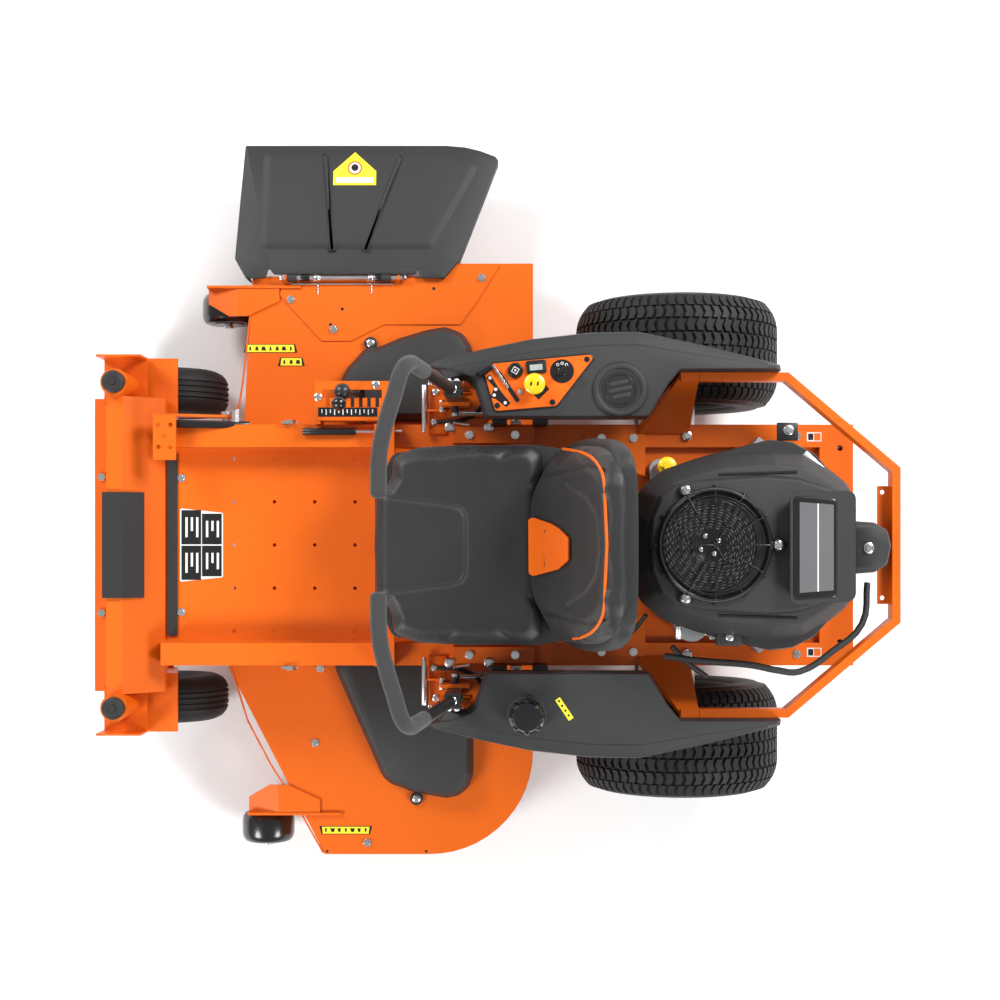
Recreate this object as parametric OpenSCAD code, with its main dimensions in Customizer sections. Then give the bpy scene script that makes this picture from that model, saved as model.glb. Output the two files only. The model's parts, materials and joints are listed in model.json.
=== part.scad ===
// Zero turn mower with a side-discharge deck, drawn as an assembly of separate parts.
// The modules are drawn in machine coordinates: X forward from the rear axle, Y to the
// operator's left from the chassis centreline, Z up from the ground. placed() carries them
// to the part's own frame, whose origin is on the ground under the middle of the machine.

/* [Wheels] */
// Distance from the rear axle to the caster spindles
wheel_base = 1241; // [1235:1:1300]
// Outside diameter of the rear tyres
rear_tyre_d = 457; // [380:1:470]
// Section width of the rear tyres
rear_tyre_w = 241; // [190:1:250]
// Distance between the middles of the rear tyres
rear_track = 862; // [840:1:1000]
// Diameter of the rear rims
rear_rim_d = 203; // [180:1:260]
// Outside diameter of the caster tyres
caster_tyre_d = 279; // [240:1:300]
// Section width of the caster tyres
caster_tyre_w = 104; // [80:1:120]
// Diameter of the caster rims
caster_rim_d = 127; // [110:1:150]
// Distance between the two caster spindles
caster_track = 708; // [690:1:800]
// Distance that a caster wheel trails its spindle
caster_trail = 61; // [45:1:70]

/* [Chassis] */
// Width of one side rail
rail_w = 50; // [40:1:60]
// Height of the side rails
rail_h = 76; // [60:1:90]
// Wall of the tubes and channels
tube_wall = 5; // [3:0.5:8]
// Distance between the middles of the side rails
rail_spacing = 480; // [470:1:500]
// Length of the frame behind the rear axle
rear_overhang = 374; // [360:1:420]
// Thickness of the floor pan
pan_t = 4; // [3:0.5:6]
// Thickness of the engine plate
engine_plate_t = 6; // [4:0.5:10]

/* [Deck] */
// Length of one blade
blade_l = 457; // [400:1:460]
// Sideways distance between neighbouring blade spindles
blade_pitch = 432; // [425:1:450]
// Distance that the middle blade stands forward of the outer ones
blade_stagger = 169; // [160:1:180]
// Depth of the deck shell
deck_depth = 115; // [100:1:120]
// Thickness of the deck's steel
deck_t = 4; // [3:0.5:6]
// Height of the blades above the ground at rest
cut_height = 84; // [75:1:90]
// Reach of the discharge chute beyond the deck
chute_reach = 317; // [200:1:360]
// Diameter of the anti-scalp rollers
roller_d = 122; // [90:1:130]

/* [Seat and controls] */
// Width of the seat cushion
seat_w = 446; // [400:1:460]
// Depth of the seat cushion
cushion_l = 372; // [340:1:380]
// Height of the backrest above the cushion
back_h = 366; // [300:1:400]
// Angle by which the backrest leans back
recline = 14; // [8:1:16]
// Diameter of the lap bar tube
bar_d = 25; // [20:1:28]
// Diameter of the foam grips
grip_d = 40; // [34:1:44]

/* [Hidden] */
$fn = 64;

// Colours of the finishes
orange = "#f26b12";
black_plastic = "#3a3b3c";
black_metal = "#262728";
rubber = "#1c1c1c";
zinc = "#c9ccce";
alloy = "#a9acae";
yellow = "#f4c400";

// Clearances
run_gap = 0.05;  // radial clearance of a shaft in its bearing
seat_gap = 0.3;  // gap between faces that meet across a joint
belt_gap = 0.5;  // gap between a belt and the pulley groove

// Travel of the deck's lift from its rest height
lift_up = 36;
lift_down = 40;

// Heights of the chassis, from the wheels up
axle_z = rear_tyre_d / 2;
caster_axle_z = caster_tyre_d / 2;
crown_t = 8;
crown_z = caster_tyre_d + 5;
housing_z = crown_z + crown_t + seat_gap;
frame_z = crown_z + crown_t + 8;
rail_top = frame_z + rail_h;

// Lengths of the chassis
rail_y = rail_spacing / 2;
bay_y = rail_y - rail_w / 2;
side_y = rail_y + rail_w / 2;
beam_rear = wheel_base - 91;
front_x = beam_rear + 160;
foremost = max(front_x, wheel_base - caster_trail + caster_tyre_d / 2);
rear_x = -rear_overhang;
beam_side = caster_track / 2 - 27;
pan_rear = 655;
pan_z = frame_z + 14;

// Caster spindle, its housing and its axle
spindle_r = 12.7;
housing_r = 30;
housing_top = frame_z + 125;
caster_axle_r = 8;
fork_gap = 6;
fork_t = 8;

// Rear drive
wheel_y = rear_track / 2;
drive_axle_r = 12.7;
hub_y = wheel_y - 62;
drive_box_y = 110;

// Engine
crank_x = -20;
crank_r = 14;
engine_plate_z = frame_z + 52;
engine_z = engine_plate_z + engine_plate_t;
shroud_z = engine_z + 165;
shroud_h = 150;
shroud_top = shroud_z + shroud_h;
fan_r = 98;
guard_ring_r = 118;
cylinder_angle = 50;

// Rear guard
guard_z = rail_top + 94;
guard_h = 40;
guard_t = 18;
guard_y = 357;
guard_rear = rear_x - 72;
guard_corner_y = 160;
guard_kink_x = -205;

// Deck, whose shell hangs over the blades
blade_t = 5;
skirt_z = cut_height - 12;
deck_top = skirt_z + deck_depth;
deck_mid_y = 45;
outer_blade_x = 570;
middle_blade_x = outer_blade_x + blade_stagger;
tip_gap = 10;
sweep_r = blade_l / 2 + tip_gap;
deck_left = deck_mid_y + blade_pitch + sweep_r;
deck_right = deck_mid_y - blade_pitch - sweep_r + 4;
deck_rear = outer_blade_x - sweep_r - 5;
deck_front = middle_blade_x + sweep_r + 22;
shaft_r = 12.7;
spindle_body_r = 40;
chute_x0 = outer_blade_x - 21;
chute_x1 = deck_front - 62;
chute_outer = deck_right - chute_reach;
chute_t = 6;

// Belts: each pulley is [centre, pitch radius, turn], with turn 1 for a pulley inside the loop
belt_w = 9;
belt_h = 13;
deck_belt_z = deck_top + 26;
traction_z = frame_z + 18;
deck_pulley_r = 62;
idler_r = 38;
clutch_r = 60;
drive_pulley_r = 55;
drive_pulley_x = 75;
drive_pulley_y = 150;
idler_x = 360;
idler_y = clutch_r + idler_r;
deck_pulleys = [
    [[crank_x, 0], clutch_r, 1],
    [[idler_x, -idler_y], idler_r, -1],
    [[outer_blade_x, deck_mid_y - blade_pitch], deck_pulley_r, 1],
    [[middle_blade_x, deck_mid_y], deck_pulley_r, 1],
    [[outer_blade_x, deck_mid_y + blade_pitch], deck_pulley_r, 1],
    [[idler_x, idler_y], idler_r, -1]
];
traction_pulleys = [
    [[crank_x, 0], drive_pulley_r, 1],
    [[drive_pulley_x, -drive_pulley_y], drive_pulley_r, 1],
    [[drive_pulley_x, drive_pulley_y], drive_pulley_r, 1]
];

// Fenders
fender_z = max(rear_tyre_d + 18, rail_top + 99);
fender_h = 70;
fender_top = fender_z + fender_h;
fender_t = 4;
cup_x = 151;
cup_y = 326;
cup_r = 40;
cup_depth = 66;
cap_x = 347;
cap_y = 357;

// Seat
seat_hinge_x = 655;
seat_hinge_z = rail_top + 97;
seat_plate_t = 6;
shell_z = seat_hinge_z + 15;
shell_t = 12;
cushion_z = shell_z + shell_t + seat_gap;
cushion_h = 72;
cushion_front = 672;
cushion_rear = cushion_front - cushion_l;
cushion_top = cushion_z + cushion_h;
back_t = 62;

// Lap bars
arm_x = 500;
arm_y = rail_y + 80;
arm_z = rail_top + 64;
arm_t = 24;
rod_drop = 42;
rod_y = side_y + 22;
rod_rear = 75;
swing_z = fender_top + 20;
bar_top = fender_top + 335;
swing_r = 11;
rod_eye = rod_rear + 20;
grip_end_y = 98;

// Lift pedal and height lever
pedal_x = 1010;
pedal_y = side_y + 16;
pedal_z = rail_top - 30;
index_x = 725;
index_y = -(side_y + 50);
index_z = rail_top + 24;

// Middle of the outside box in the machine coordinates
mid_x = (foremost + guard_rear) / 2;
mid_y = (deck_left + chute_outer) / 2;

module placed() translate([-mid_x, -mid_y, 0]) children();

// ---- Functions ----

function left_of(v) = [-v.y, v.x] / norm(v);

function mitred(a, b, c, d) =
    let (n1 = left_of(b - a), n2 = left_of(c - b)) b + d * (n1 + n2) / (1 + n1 * n2);

// A closed outline, listed anticlockwise, moved inwards by d
function inset(p, d) =
    let (n = len(p)) [for (i = [0:n - 1]) mitred(p[(i + n - 1) % n], p[i], p[(i + 1) % n], d)];

// An open path moved to its left by d
function beside(p, d) = [
    for (i = [0:len(p) - 1])
        i == 0 ? p[0] + d * left_of(p[1] - p[0])
        : i == len(p) - 1 ? p[i] + d * left_of(p[i] - p[i - 1])
        : mitred(p[i - 1], p[i], p[i + 1], d)
];

function backwards(p) = [for (i = [len(p) - 1:-1:0]) p[i]];

function strip(p, w) = concat(beside(p, w / 2), backwards(beside(p, -w / 2)));

function arc(c, r, a0, a1, n = 12) =
    [for (i = [0:n]) let (a = a0 + (a1 - a0) * i / n) c + r * [cos(a), sin(a)]];

function mirrored(p) = backwards([for (q = p) [q.x, -q.y]]);

// Heading of the straight run from one pulley to the next
function heading(a, b) =
    let (d = b[0] - a[0]) atan2(d.y, d.x) - asin((b[2] * b[1] - a[2] * a[1]) / norm(d));

function wrap(a) = a < 0 ? wrap(a + 360) : a >= 360 ? wrap(a - 360) : a;

// The line at d to the right of a belt's pitch line, as a closed loop
function belt_line(p, d) = [
    for (i = [0:len(p) - 1])
        let (
            n = len(p), b = p[i],
            h0 = heading(p[(i + n - 1) % n], b), h1 = heading(b, p[(i + 1) % n]),
            sweep = b[2] * wrap(b[2] * (h1 - h0)),
            start = h0 - 90 * b[2]
        )
        for (q = arc(b[0], b[1] + b[2] * d, start, start + sweep, 24)) q
];

// ---- Shared shapes ----

module both_sides() {
    children();
    mirror([0, 1, 0]) children();
}

module block(low, high) translate(low) cube(high - low);

module plate(outline, low, height) translate([0, 0, low]) linear_extrude(height) polygon(outline);

// A profile in X and Z, drawn across the machine from y0 to y1
module across(profile, y0, y1)
    translate([0, y1, 0]) rotate([90, 0, 0]) linear_extrude(y1 - y0) polygon(profile);

module rod(from, to, r) {
    d = to - from;
    translate(from)
        rotate([0, acos(d.z / norm(d)), atan2(d.y, d.x)])
            cylinder(r = r, h = norm(d));
}

module axle(x, y0, y1, z, r) translate([x, y0, z]) rotate([-90, 0, 0]) cylinder(r = r, h = y1 - y0);

module bolt(at, r = 7, h = 6) translate(at) {
    cylinder(r = r, h = h, $fn = 6);
    cylinder(r = r * 1.3, h = 1.5);
}

module tube_x(x0, x1, y, z, w, h) difference() {
    block([x0, y - w / 2, z], [x1, y + w / 2, z + h]);
    block([x0 - 1, y - w / 2 + tube_wall, z + tube_wall],
          [x1 + 1, y + w / 2 - tube_wall, z + h - tube_wall]);
}

module belt(pulleys, z) translate([0, 0, z - belt_h / 2]) linear_extrude(belt_h) difference() {
    polygon(belt_line(pulleys, belt_w / 2));
    polygon(belt_line(pulleys, -belt_w / 2));
}

// A grooved pulley on its own core, centred on z, with its hub down to the shaft radius
module pulley(pitch_r, z) {
    groove_r = pitch_r - belt_w / 2 - belt_gap;
    half = belt_h / 2 + belt_gap;
    flange_t = 3;
    translate([0, 0, z]) rotate_extrude() polygon([
        [0, -half - flange_t], [pitch_r + 7, -half - flange_t], [pitch_r + 7, -half],
        [groove_r, -half], [groove_r, half], [pitch_r + 7, half],
        [pitch_r + 7, half + flange_t], [0, half + flange_t]
    ]);
}

// ---- Chassis ----

module main_frame() color(orange) difference() {
    union() {
        both_sides() {
            tube_x(rear_x, beam_rear, rail_y, frame_z, rail_w, rail_h);
            seat_riser();
            rear_gusset();
        }
        tube_crossways(rear_x, rear_x + 74, frame_z, rail_h);
        tube_crossways(seat_hinge_x - 22, seat_hinge_x + 22, rail_top, 40);
        tube_crossways(300, 340, frame_z, 40);
        block([-300, -bay_y, engine_plate_z], [130, bay_y, engine_z]);
        block([300, -95, frame_z + 40], [500, 95, frame_z + 44]);
        both_sides() {
            seat_ear();
            translate([320, 150, frame_z + 40])
                cylinder(r = 14, h = seat_hinge_z - seat_plate_t - seat_gap - frame_z - 40);
        }
    }
    translate([crank_x, 0, engine_plate_z - 1]) cylinder(r = 70, h = engine_plate_t + 2);
    both_sides() translate([rear_x + 29, 213, frame_z - 1]) cylinder(r = 6, h = rail_h + 2);
    translate([rear_x - 1, 0, frame_z + 38]) rotate([0, 90, 0]) cylinder(r = 8, h = tube_wall + 2);
}

module tube_crossways(x0, x1, z, h) difference() {
    block([x0, -side_y + 1, z], [x1, side_y - 1, z + h]);
    block([x0 + tube_wall, -side_y, z + tube_wall], [x1 - tube_wall, side_y, z + h - tube_wall]);
}

module seat_riser() block([328, rail_y - 18, rail_top], [506, rail_y + 18, rail_top + 34]);

module rear_gusset()
    plate([[84, 150], [218, 210], [218, side_y - 21], [84, side_y - 21]], rail_top, 5);

module seat_ear() difference() {
    union() {
        block([seat_hinge_x - 14, 148, rail_top + 40], [seat_hinge_x + 14, 156, seat_hinge_z]);
        axle(seat_hinge_x, 148, 156, seat_hinge_z, 14);
    }
    axle(seat_hinge_x, 140, 164, seat_hinge_z, 6 + run_gap);
}

beam_profile = [
    [beam_rear, frame_z], [front_x, frame_z], [front_x, frame_z + 12],
    [front_x - 36, frame_z + 14], [front_x - 44, frame_z + 92],
    [front_x - 80, frame_z + 92], [beam_rear, frame_z + 24]
];

module front_beam() color(orange) difference() {
    union() {
        difference() {
            across(beam_profile, -beam_side, beam_side);
            across(inset(beam_profile, tube_wall), -beam_side + tube_wall, beam_side - tube_wall);
        }
        both_sides() caster_end();
    }
    both_sides() translate([wheel_base, caster_track / 2, housing_z - 1])
        cylinder(r = spindle_r + run_gap, h = housing_top - housing_z + 2);
}

// The box at each end of the beam that carries a caster housing
module caster_end() {
    y0 = beam_side;
    y1 = caster_track / 2 + 66;
    block([wheel_base - 47, y0 - 12, frame_z], [wheel_base + 49, y1, frame_z + 8]);
    block([wheel_base - 47, y1 - tube_wall, frame_z], [wheel_base + 52, y1, frame_z + 74]);
    block([wheel_base - 47, y0 - 12, frame_z], [wheel_base + 44, y0 - 4, frame_z + 60]);
    translate([wheel_base, caster_track / 2, housing_z])
        cylinder(r = housing_r, h = housing_top - housing_z);
}

module floor_pan() color(orange) difference() {
    union() {
        block([pan_rear, -bay_y, pan_z], [beam_rear, bay_y, pan_z + pan_t]);
        both_sides()
            block([pan_rear, bay_y - pan_t, pan_z], [beam_rear, bay_y, rail_top - 6]);
    }
    for (column = [0:3])
        for (row = [-2:2])
            translate([pan_rear + 72 + 90 * column, 96.5 * row, pan_z - 1])
                cylinder(r = 4, h = pan_t + 2);
}

pad_y = 116;

module rubber_trim() color(rubber) {
    block([beam_rear - 26, -203, pan_z + pan_t], [beam_rear - 4, 203, pan_z + pan_t + 5]);
    across([
        [front_x - 37, frame_z + 40], [front_x - 30, frame_z + 40], [front_x - 37, frame_z + 100],
        [front_x - 82, frame_z + 100], [front_x - 122, frame_z + 64],
        [front_x - 115.2, frame_z + 62.1], [front_x - 80, frame_z + 92], [front_x - 43.9, frame_z + 92],
        [front_x - 38.5, frame_z + 40]
    ], -pad_y, pad_y);
    both_sides() translate([wheel_base, caster_track / 2, housing_top]) {
        cylinder(r = 24, h = 12);
        translate([0, 0, 12]) cylinder(r1 = 24, r2 = 17, h = 5);
        translate([0, 0, 17]) cylinder(r = 7, h = 3);
    }
}

guard_path = concat(
    [[-20, guard_y], [guard_kink_x, guard_y], [guard_rear + guard_t / 2, guard_corner_y]],
    [[guard_rear + guard_t / 2, -guard_corner_y], [guard_kink_x, -guard_y], [-20, -guard_y]]
);

module rear_guard() color(orange) {
    plate(backwards(strip(guard_path, guard_t)), guard_z, guard_h);
    both_sides() guard_foot();
    difference() {
        block([guard_rear + guard_t, -126, guard_z + 4], [guard_rear + guard_t + 24, 126, guard_z + 10]);
        for (y = [-113, 113])
            translate([guard_rear + guard_t + 14, y, guard_z]) cylinder(r = 5, h = 20);
    }
}

// The bent plate from the rail's top to the start of the guard
module guard_foot() {
    top_y = guard_y + guard_t / 2;
    hull() {
        block([-12, side_y - 20, rail_top], [97, side_y, rail_top + 5]);
        block([-20, top_y - 8, guard_z + guard_h - 6], [20, top_y, guard_z + guard_h - 1]);
    }
    block([-20, top_y - guard_t, guard_z], [20, top_y, guard_z + guard_h - 1]);
}

// Outline of one fender, seen from above, for the left side
fender_outline = concat(
    [[90, side_y + 3], [435, side_y + 3], [448, 308], [458, 337], [476, 351], [516, 348]],
    [[534, 372], [554, 378], [540, 388], [445, 412], [340, 434], [214, 448], [109, 450], [-17, 424]],
    [[-164, 387], [-188, 380], [-190, guard_y + guard_t / 2 + 0.5]],
    [[24, guard_y + guard_t / 2 + 0.5], [48, guard_y - 19]]
);

module fender_body() difference() {
    plate(fender_outline, fender_z, fender_h);
    plate(inset(fender_outline, fender_t), fender_z - 1, fender_h - fender_t + 1);
}

tank_outline = [[250, side_y + 8], [430, side_y + 8], [430, 420], [250, 436]];

module fuel_tank() color(black_plastic) {
    difference() {
        union() {
            fender_body();
            plate(tank_outline, fender_z - 84, 84 + fender_h - fender_t);
            translate([cap_x, cap_y, fender_top - 2]) cylinder(r = 26, h = 16);
        }
        plate(inset(tank_outline, fender_t), fender_z - 80, 80 + fender_h - fender_t - 4);
        translate([cap_x, cap_y, fender_top - 14]) cylinder(r = 20, h = 30);
    }
    fender_mounts();
}

// Two posts that stand on the side rail and carry the fender's inner edge
module fender_mounts() for (x = [300, 388])
    block([x, side_y - 6, rail_top], [x + 32, side_y + 9, fender_z + 10]);

panel_outline = [
    [208, -391], [214, -399], [418, -380], [435, -357], [414, -284], [408, -281], [289, -291], [283, -294]
];
panel_t = 4;
panel_z = fender_top;

module console_fender() color(black_plastic) difference() {
    union() {
        mirror([0, 1, 0]) fender_body();
        translate([cup_x, -cup_y, fender_top - cup_depth - 4]) cylinder(r = cup_r + 4, h = cup_depth + 8);
        mirror([0, 1, 0]) fender_mounts();
    }
    translate([cup_x, -cup_y, fender_top - cup_depth]) cylinder(r = cup_r, h = cup_depth + 8);
    plate([[240, -388], [404, -370], [420, -352], [402, -294], [292, -300]], fender_top - 10, 12);
}

// Places of the controls on the panel
key_at = [273, -364];
meter_at = [327, -373];
pto_at = [324, -330];
choke_at = [392, -338];
choke_turn = 124;
switch_at = [372, -364];
control_hole_r = 6;

module console_panel() {
    color(orange) difference() {
        plate(panel_outline, panel_z, panel_t);
        for (at = [key_at, pto_at]) translate([at.x, at.y, panel_z - 1])
            cylinder(r = control_hole_r, h = panel_t + 2);
        translate([choke_at.x, choke_at.y, panel_z + 1]) rotate([0, 0, choke_turn])
            cube([78, 7, 12], center = true);
    }
    color(black_metal) translate([choke_at.x, choke_at.y, panel_z]) rotate([0, 0, choke_turn])
        for (y = [-10, 5]) difference() {
            block([-6, y, -22], [6, y + 5, 0]);
            axle(0, y - 1, y + 6, -14, 4 + run_gap);
        }
    color(black_plastic) {
        plate([for (c = [[-20, -12], [20, -12], [20, 12], [-20, 12]]) meter_at + c], panel_z + panel_t, 5);
        for (at = [key_at, pto_at]) translate([at.x, at.y, panel_z - 26]) difference() {
            cylinder(r = 12, h = 26);
            translate([0, 0, 4]) cylinder(r = control_hole_r, h = 30);
        }
        translate([key_at.x, key_at.y, panel_z + panel_t]) difference() {
            cylinder(r = 24, h = 3);
            translate([0, 0, -1]) cylinder(r = control_hole_r, h = 6);
        }
        translate([switch_at.x, switch_at.y, panel_z + panel_t]) cylinder(r = 15, h = 14);
    }
}

// ---- Engine ----

module cylinder_at(turn) translate([crank_x, 0, 0]) rotate([0, 0, turn]) children();

module engine_block() color(alloy) {
    difference() {
        union() {
            block([-140, -118, engine_z], [100, 118, engine_z + 120]);
            translate([crank_x, 0, engine_z + 120]) cylinder(r = 60, h = 30);
        }
        translate([crank_x, 0, engine_z - 1]) cylinder(r = crank_r + run_gap, h = 160);
    }
    for (turn = [180 - cylinder_angle, 180 + cylinder_angle]) cylinder_at(turn) {
        block([60, -42, engine_z + 28], [226, 42, engine_z + 112]);
        for (i = [0:6])
            block([124 + 15 * i, -58, engine_z + 14], [129 + 15 * i, 58, engine_z + 126]);
        block([226, -48, engine_z + 24], [262, 48, engine_z + 116]);
    }
    translate([52, -165, engine_z]) cylinder(r = 24, h = 30);
    block([30, -170, engine_z], [74, -110, engine_z + 30]);
    translate([52, -165, engine_z + 30]) difference() {
        cylinder(r = 15, h = 150);
        translate([0, 0, 12]) cylinder(r = 11, h = 150);
    }
    translate([-6, 118, engine_z + 30]) {
        block([-20, 0, 0], [20, 30, 16]);
        translate([0, 52, 0]) cylinder(r = 32, h = 16);
        translate([0, 52, 16]) cylinder(r = 36, h = 80);
    }
}

shroud_outline = concat(
    arc([crank_x - 10, 0], 147, -62, 62, 16),
    [[-138, 243], [-192, 243], [-303, 118], [-303, -118], [-192, -243], [-138, -243]]
);

module blower_housing() color(black_plastic) {
    difference() {
        plate(shroud_outline, shroud_z, shroud_h);
        plate(inset(shroud_outline, 4), shroud_z - 1, shroud_h - 3);
        translate([crank_x, 0, shroud_top - 6]) cylinder(r = fan_r + 7, h = 10);
    }
    for (y = [-90, 90]) translate([80, y, engine_z + 120]) cylinder(r = 8, h = 1);
    for (y = [-90, 90]) translate([80, y, engine_z + 121]) cylinder(r = 6, h = shroud_h + 43);
}

module fan_guard() color(black_plastic) translate([crank_x, 0, shroud_top]) {
    difference() {
        cylinder(r = guard_ring_r, h = 22);
        translate([0, 0, -1]) cylinder(r = guard_ring_r - 11, h = 24);
    }
    intersection() {
        cylinder(r = guard_ring_r - 8, h = 24);
        for (i = [0:5]) rotate([0, 0, 30 * i]) block([-120, -2.5, 17], [120, 2.5, 22]);
    }
    for (r = [30, 56, 82]) translate([0, 0, 15]) difference() {
        cylinder(r = r, h = 4);
        translate([0, 0, -1]) cylinder(r = r - 4, h = 6);
    }
}

module air_cleaner() color(black_plastic) {
    block([-300, -108, shroud_top], [-182, 108, shroud_top + 34]);
    block([-410, -52, shroud_top - 88], [-303, 52, shroud_top - 6]);
}

module muffler() color(black_metal) {
    block([-296, -132, engine_z + 12], [-222, 132, engine_z + 92]);
    for (y = [-90, 90]) rod([-222, y, engine_z + 60], [-150, y, engine_z + 70], 15);
    rod([-294, 95, engine_z + 44], [-366, 95, engine_z + 44], 17);
    both_sides() block([-290, 100, engine_plate_z + engine_plate_t], [-250, 120, engine_z + 12]);
}

clutch_z = deck_belt_z;

module crankshaft() {
    color(zinc) translate([crank_x, 0, clutch_z - 22]) cylinder(r = crank_r, h = shroud_top - 34 - clutch_z + 22);
    color(black_metal) translate([crank_x, 0, 0]) {
        pulley(clutch_r, clutch_z);
        translate([0, 0, clutch_z + 12]) cylinder(r = 52, h = 30);
        pulley(drive_pulley_r, traction_z);
    }
}

screen_z = shroud_top - 12;

module fan_screen() color(zinc) translate([crank_x, 0, 0]) {
    difference() {
        translate([0, 0, screen_z]) cylinder(r = fan_r, h = 4);
        for (i = [0:11]) rotate([0, 0, 30 * i]) block([38, -5, screen_z - 1], [88, 5, screen_z + 5]);
    }
    translate([0, 0, screen_z - 22]) cylinder(r = 20, h = 22);
}

module dipstick_cap() color(yellow) translate([52, -165, engine_z + 180 + seat_gap]) {
    cylinder(r = 20, h = 20, $fn = 24);
    translate([0, 0, -30]) cylinder(r = 9, h = 30);
}

module fuel_cap() color(black_plastic) translate([cap_x, cap_y, fender_top + 14]) {
    translate([0, 0, seat_gap]) cylinder(r = 38, h = 32);
    translate([0, 0, -12]) cylinder(r = 19, h = 12 + seat_gap);
}

// ---- Rear drive ----

module transaxles() {
    color(alloy) both_sides() difference() {
        union() {
            block([-80, drive_box_y, axle_z - 74], [112, 205, axle_z + 60]);
            axle(0, 200, hub_y - 20, axle_z, 42);
            translate([drive_pulley_x, drive_pulley_y, axle_z + 50]) cylinder(r = 9, h = traction_z - axle_z - 44);
            block([-70, rail_y - 16, axle_z + 20], [-30, rail_y + 16, frame_z]);
            block([60, 150, axle_z + 60], [108, 205, rod_z + 2.5]);
            axle(rod_eye, 196, rod_y + 10, rod_z, rod_pin_r);
        }
        axle(0, 150, hub_y, axle_z, drive_axle_r + run_gap);
    }
    color(black_metal) both_sides()
        translate([drive_pulley_x, drive_pulley_y, 0]) pulley(drive_pulley_r, traction_z);
}

module traction_belt() color(rubber) belt(traction_pulleys, traction_z);

module rear_tyre() color(rubber) translate([0, wheel_y, axle_z]) rotate([90, 0, 0]) {
    tread_r = rear_tyre_d / 2;
    bead_r = rear_rim_d / 2;
    half = rear_tyre_w / 2;
    rotate_extrude($fn = 96) polygon(concat(
        [[bead_r, -half + 28], [bead_r + 20, -half + 8], [tread_r - 62, -half]],
        [[tread_r - 30, -half + 5], [tread_r - 8, -half + 26], [tread_r, -half + 62]],
        [[tread_r, half - 62], [tread_r - 8, half - 26], [tread_r - 30, half - 5]],
        [[tread_r - 62, half], [bead_r + 20, half - 8], [bead_r, half - 28]]
    ));
}

module rear_rim() {
    half = rear_tyre_w / 2 - 28;
    color(black_metal) translate([0, wheel_y, axle_z]) rotate([-90, 0, 0]) rotate_extrude($fn = 96) polygon([
                [drive_axle_r - 2, -66], [58, -66], [58, -58], [rear_rim_d / 2 - 18, -50],
                [rear_rim_d / 2 - 8, -half + 1], [rear_rim_d / 2, -half + 1],
                [rear_rim_d / 2, half], [rear_rim_d / 2 - 6, half],
                [rear_rim_d / 2 - 8, -42], [58, -50], [34, -54], [34, -40], [drive_axle_r - 2, -40]
    ]);
    color(zinc) {
        axle(0, 152, wheel_y - 28, axle_z, drive_axle_r);
        for (i = [0:3]) translate([0, wheel_y - 58, axle_z]) rotate([0, 45 + 90 * i, 0])
            translate([0, 6, 46]) rotate([90, 0, 0]) cylinder(r = 9, h = 22, center = true, $fn = 6);
    }
}

// ---- Casters ----

module caster_fork() {
    half = caster_tyre_w / 2 + fork_gap;
    color(orange) translate([wheel_base, caster_track / 2, 0]) difference() {
        union() {
            block([-112, -half - fork_t, crown_z], [34, half + fork_t, crown_z + crown_t]);
            for (y = [-half - fork_t, half]) {
                across([
                    [20, crown_z], [-112, crown_z], [-caster_trail - 22, caster_axle_z],
                    [-caster_trail + 22, caster_axle_z]
                ], y, y + fork_t);
                axle(-caster_trail, y, y + fork_t, caster_axle_z, 22);
            }
        }
        axle(-caster_trail, -half - 20, half + 20, caster_axle_z, caster_axle_r);
    }
    color(zinc) translate([wheel_base, caster_track / 2, 0]) {
        translate([0, 0, crown_z + crown_t]) cylinder(r = spindle_r, h = housing_top - crown_z - crown_t - 6);
        axle(-caster_trail, -half - fork_t, half + fork_t, caster_axle_z, caster_axle_r);
        for (y = [-half - fork_t - 8, half + fork_t]) axle(-caster_trail, y, y + 8, caster_axle_z, 13);
    }
}

module caster_rim() color(black_plastic)
    translate([wheel_base - caster_trail, caster_track / 2, caster_axle_z]) rotate([90, 0, 0])
        rotate_extrude() polygon([
            [caster_axle_r + run_gap, -caster_tyre_w / 2 - 4], [24, -caster_tyre_w / 2 - 4],
            [24, -14], [caster_rim_d / 2 - 8, -14], [caster_rim_d / 2 - 6, -36],
            [caster_rim_d / 2, -36], [caster_rim_d / 2, 36],
            [caster_rim_d / 2 - 6, 36], [caster_rim_d / 2 - 8, 14], [24, 14],
            [24, caster_tyre_w / 2 + 4], [caster_axle_r + run_gap, caster_tyre_w / 2 + 4]
        ]);

module caster_tyre() color(rubber)
    translate([wheel_base - caster_trail, caster_track / 2, caster_axle_z]) rotate([90, 0, 0]) {
        r = caster_tyre_d / 2;
        half = caster_tyre_w / 2;
        rotate_extrude($fn = 80) polygon(concat(
            [[caster_rim_d / 2, -half + 14], [r - 44, -half], [r - 22, -half + 4], [r - 6, -half + 18]],
            [[r, -half + 36], [r, half - 36], [r - 6, half - 18], [r - 22, half - 4]],
            [[r - 44, half], [caster_rim_d / 2, half - 14]]
        ));
    }

// ---- Deck ----

// The shell seen from above, anticlockwise
deck_outline = concat(
    [[deck_rear, deck_right - 30], [chute_x0 - 33, deck_right - 30]],
    [[chute_x0, deck_right], [deck_front - 24, deck_right], [deck_front + 30, 287]],
    [[outer_blade_x + sweep_r, deck_left], [outer_blade_x, deck_left]],
    arc([deck_rear + sweep_r, deck_left - sweep_r], sweep_r, 96, 180, 12)
);

blades = [
    [middle_blade_x, deck_mid_y],
    [outer_blade_x, deck_mid_y + blade_pitch],
    [outer_blade_x, deck_mid_y - blade_pitch]
];

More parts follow.
